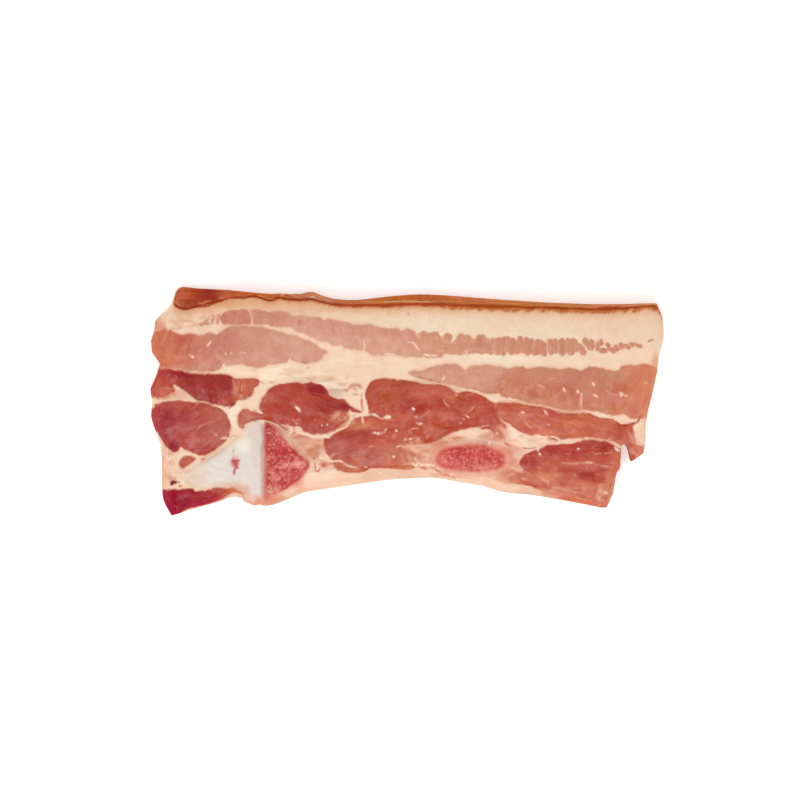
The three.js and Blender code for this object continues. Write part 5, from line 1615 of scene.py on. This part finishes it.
# %% A socket that can be written in sums
class Wire:
    """One output of a finish's nodes."""

    def __init__(self, tree, socket=None):
        self.tree, self.socket = tree, socket

    def node(self, kind, settings=(), sockets=(), out=0):
        """Adds a node. Its settings are set first, then its sockets take values or wires."""
        made = self.tree.nodes.new(kind)
        for key, value in dict(settings).items():
            setattr(made, key, value)
        for key, value in dict(sockets).items():
            if isinstance(value, Wire):
                self.tree.links.new(value.socket, made.inputs[key])
            else:
                made.inputs[key].default_value = value
        return Wire(self.tree, made.outputs[out])

    def math(self, operation, first, second):
        """A Math node on two values or wires."""
        return self.node("ShaderNodeMath", {"operation": operation}, {0: first, 1: second})

    def __add__(self, other):
        return self.math("ADD", self, other)

    def __sub__(self, other):
        return self.math("SUBTRACT", self, other)

    def __rsub__(self, other):
        return self.math("SUBTRACT", other, self)

    def __mul__(self, other):
        return self.math("MULTIPLY", self, other)

    def __rmul__(self, other):
        return self.math("MULTIPLY", other, self)

    def __radd__(self, other):
        return self.math("ADD", other, self)

    def step(self, start, end):
        """A smooth step of this value, from 0 at start to 1 at end."""
        limits = {"Value": self, "From Min": start, "From Max": end}
        return self.node("ShaderNodeMapRange", {"interpolation_type": "SMOOTHSTEP"}, limits)

    def scaled(self, amount):
        """This colour or vector times a value."""
        return self.node("ShaderNodeVectorMath", {"operation": "SCALE"}, {0: self, 3: amount})

    def times(self, vector):
        """This vector times another, one axis at a time."""
        return self.node("ShaderNodeVectorMath", {"operation": "MULTIPLY"}, {0: self, 1: vector})

    def mixed(self, share, colour):
        """This colour with a share of another over it."""
        return self.node("ShaderNodeMix", {"data_type": "RGBA"}, {0: share, 6: self, 7: colour}, out=2)

    def shaded(self, amount, pull):
        """This colour made paler or darker by an amount, each channel by its own pull."""
        pulled = self.node("ShaderNodeCombineXYZ", (), {i: amount * pull[i] + 1 for i in range(3)})
        return self.times(pulled)

    def bent_by(self, colour, reach):
        """This place moved about by a noise colour."""
        moved = {0: colour, 1: (reach,) * 3, 2: self}
        return self.node("ShaderNodeVectorMath", {"operation": "MULTIPLY_ADD"}, moved)

    def noise(self, scale, detail=2.0, roughness=0.5):
        """Noise at this place, from 0 to 1."""
        values = {"Vector": self, "Scale": scale, "Detail": detail, "Roughness": roughness}
        return self.node("ShaderNodeTexNoise", (), values)


def painted(wire, name, out=2):
    """What the canvas stored on the piece under a name: a value, or a colour or vector."""
    return wire.node("ShaderNodeAttribute", {"attribute_name": name}, (), out)

# %% [markdown]
# ## The finish of cut meat
# Up close lean meat is a bed of fibre bundles: each a little darker or paler than the next, with thin
# lines of sinew between them. Fat is nearly plain, with faint clouds. Both are moist, so they shine
# softly, and light goes a little way in. The tone itself comes from the canvas.

# %% How every finish ends
BUMP_REACH = 0.1  # the height of the finest relief, in millimetres
COAT_ROUGHNESS = 0.22


def sealed(wire, tone, roughness, wet, height, bump, depth, spread):
    """Ends a finish: its tone, gloss and relief, and how deep and how far light goes in."""
    relief = {"Height": height, "Distance": BUMP_REACH * MM, "Strength": bump}
    lit = wire.node("ShaderNodeBsdfPrincipled", (), {
        "Base Color": tone, "Roughness": roughness, "Specular IOR Level": 0.0,
        "Coat Weight": wet, "Coat Roughness": COAT_ROUGHNESS,
        "Subsurface Weight": 0.3, "Subsurface Radius": spread, "Subsurface Scale": depth * MM,
        "Normal": wire.node("ShaderNodeBump", (), relief),
    })
    out = wire.tree.nodes.new("ShaderNodeOutputMaterial")
    wire.tree.links.new(lit.socket, out.inputs["Surface"])


def new_finish(name):
    """An empty finish, and a wire to start its nodes with."""
    finish = bpy.data.materials.new(name)
    finish.use_nodes = True
    finish.node_tree.nodes.clear()
    return finish, Wire(finish.node_tree)


def wear(piece, finish):
    """Gives a piece one finish, in place of any that it came with."""
    piece.data.materials.clear()
    piece.data.materials.append(finish)


print("the finest relief is", BUMP_REACH, "mm high")

# %% Meat
VEIN_PINK = (0.78, 0.44, 0.34, 1)


def meat_finish(name):
    """Lean, fat and skin, told apart by the canvas."""
    finish, wire = new_finish(name)
    lean, skin, coarse = painted(wire, "lean"), painted(wire, "skin"), painted(wire, "grain")
    fibre = painted(wire, "fibre", 1)
    place = wire.node("ShaderNodeTexCoord", out=3).scaled(1 / MM)
    bundles = {"Vector": fibre.bent_by(fibre.noise(0.7), 0.5), "Scale": 1.0, "Randomness": 1.0}
    edge = wire.node("ShaderNodeTexVoronoi", {"feature": "DISTANCE_TO_EDGE"}, bundles)
    cell = wire.node("ShaderNodeTexVoronoi", {}, bundles, out=1)
    cell_tone = cell.node("ShaderNodeSeparateColor", (), {0: cell})
    seam = (1 - edge.step(0.0, 0.09)) * fibre.noise(0.45).step(0.42, 0.62) * lean
    threads = fibre.times((4.0, 1.3, 2.0)).noise(1.0, 3.0) - 0.5
    clouds = place.noise(0.55, 3.0) - 0.5
    grain = place.noise(3.2, 2.0) - 0.5
    shade = coarse * (0.16 * (cell_tone - 0.5) + 0.38 * threads) + 0.10 * clouds + 0.25 * grain - 0.10 * seam
    tone = painted(wire, "tone", 0).shaded(shade, (0.6, 1.2, 1.1))
    web = fibre.bent_by(fibre.noise(0.4), 1.2).noise(0.5, 1.0) - 0.5
    veins = (1 - web.math("ABSOLUTE", web, 0).step(0.0, 0.022)) * place.noise(0.22, 1.0).step(0.5, 0.62)
    tone = tone.mixed(veins * lean * 0.16, VEIN_PINK)
    height = coarse * (0.5 * threads + 0.25 * edge.step(0, 0.12)) + 0.35 * grain + 0.2 * clouds
    roughness = 0.5 + 0.12 * clouds + 0.08 * skin
    wet = painted(wire, "wet") * place.noise(0.35, 2.0).step(0.35, 0.7)
    sealed(wire, tone, roughness, wet, height, bump=0.5, depth=0.5, spread=(1.0, 0.45, 0.3))
    return finish


MEAT = meat_finish("cut meat")
for piece in (belly, rind, lining):
    wear(piece, MEAT)
print("nodes in the finish of meat:", len(MEAT.node_tree.nodes))

# %% [markdown]
# ## The finish of bone
# A cut rib is a sponge of pale struts round pits of red marrow. It is finer than the mesh, so two
# noises draw it in the finish, where the canvas says marrow. Cartilage has none, and is glossy.

# %% Bone and cartilage
BLOOD_RED = (0.50, 0.035, 0.045, 1)
PIT_RED = (0.42, 0.018, 0.025, 1)
STRUT_PINK = (0.76, 0.31, 0.25, 1)


def bone_finish(name, sponge, gloss):
    """Bone or cartilage: red marrow in a pale sponge where there is any, and a wet surface."""
    finish, wire = new_finish(name)
    place = wire.node("ShaderNodeTexCoord", out=3).scaled(1 / MM)
    bone = painted(wire, "marrow") * sponge
    warped = place.bent_by(place.noise(0.7), 1.4)
    lace = warped.noise(1.2, 2.0, 0.55)
    blots = warped.noise(0.45, 2.0)
    clouds = place.noise(0.7, 3.0) - 0.5
    grain = place.noise(3.5, 2.0) - 0.5
    pits = lace.step(0.5, 0.6) * blots.step(0.38, 0.56) * bone
    struts = (1 - lace.step(0.36, 0.5)) * bone
    tone = painted(wire, "tone", 0).mixed(blots.step(0.5, 0.68) * bone * 0.4, BLOOD_RED)
    tone = tone.mixed(struts * 0.42, STRUT_PINK).mixed(pits * 0.75, PIT_RED)
    tone = tone.scaled(1 + 0.07 * clouds + (0.1 + 0.3 * bone) * grain)
    height = 0.4 * grain + 0.2 * clouds + 0.5 * struts - 0.7 * pits
    roughness, wet = gloss + 0.1 * clouds, painted(wire, "wet")
    sealed(wire, tone, roughness, wet, height, bump=0.6, depth=0.4, spread=(1.0, 0.5, 0.35))
    return finish


# Each bone, the name of its finish, how spongy it is and how rough.
FINISHED = (
    (cartilage, "pearly cartilage", 0.0, 0.38), (rib_tip, "spongy rib end", 1.25, 0.42),
    (rib_slice, "cut rib", 1.0, 0.42),
)
for piece, name, pores, gloss in FINISHED:
    wear(piece, bone_finish(name, pores, gloss))
print(len(FINISHED), "finishes of bone")

# %% [markdown]
# ## Joining the frame
# Each piece rides on the one body, and stands for the solid that it was copied from.

# %% Riding and replacing
STANDS_FOR = {
    belly: "belly_meat", rind: "belly_meat", lining: "belly_meat",
    cartilage: "rib_cartilage", rib_tip: "rib_end", rib_slice: "rib_section",
}
for piece, node in STANDS_FOR.items():
    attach(piece, "root")
    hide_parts(node)
print({piece.name: node for piece, node in STANDS_FOR.items()})

# %% [markdown]
# ## Light and camera
# The slice lies on a bright white table under an even sky, with one large soft lamp towards -Y, so
# the shadows are short and faint. The camera looks straight down from far away through a long lens.

# %% White table
bpy.ops.object.select_all(action="DESELECT")
bpy.ops.mesh.primitive_plane_add(size=6, location=(0, 0, -0.02 * MM))
table = bpy.context.object
table.name = "white_table"
finish, wire = new_finish("white table")
out = wire.tree.nodes.new("ShaderNodeOutputMaterial")
white = wire.node("ShaderNodeBsdfPrincipled", (), {
    "Base Color": (0.95, 0.95, 0.95, 1), "Roughness": 0.9, "Specular IOR Level": 0.0,
    "Emission Color": (1, 1, 1, 1), "Emission Strength": 0.35,
})
wire.tree.links.new(white.socket, out.inputs["Surface"])
wear(table, finish)
print("the table is", round(table.dimensions[0], 2), "m wide")

# %% Sky and lamp
world = bpy.data.worlds.new("even sky")
world.use_nodes = True
world.node_tree.nodes["Background"].inputs["Color"].default_value = (1, 1, 1, 1)
world.node_tree.nodes["Background"].inputs["Strength"].default_value = 0.75
bpy.context.scene.world = world

bpy.ops.object.light_add(type="AREA", location=(-0.15, -0.5, 1.5))
lamp = bpy.context.object
lamp.data.shape = "DISK"
lamp.data.size = 0.9
lamp.data.energy = 9
lamp.rotation_euler = (-lamp.location).to_track_quat("-Z", "Y").to_euler()
print("lamp of", lamp.data.energy, "W")

# %% Camera
CAMERA_PLACE = (-1.967, 0.345, 3010)
SEEN_WIDTH = 217.47  # the millimetres that the camera takes in, at the height SEEN_AT
SEEN_AT = 10
bpy.ops.object.camera_add(location=[v * MM for v in CAMERA_PLACE], rotation=(0, 0, 0))
camera = bpy.context.object
camera.data.lens = camera.data.sensor_width * (CAMERA_PLACE[2] - SEEN_AT) / SEEN_WIDTH
bpy.context.scene.camera = camera
bpy.context.scene.view_settings.view_transform = "Standard"
print("lens", round(camera.data.lens, 1), "mm")
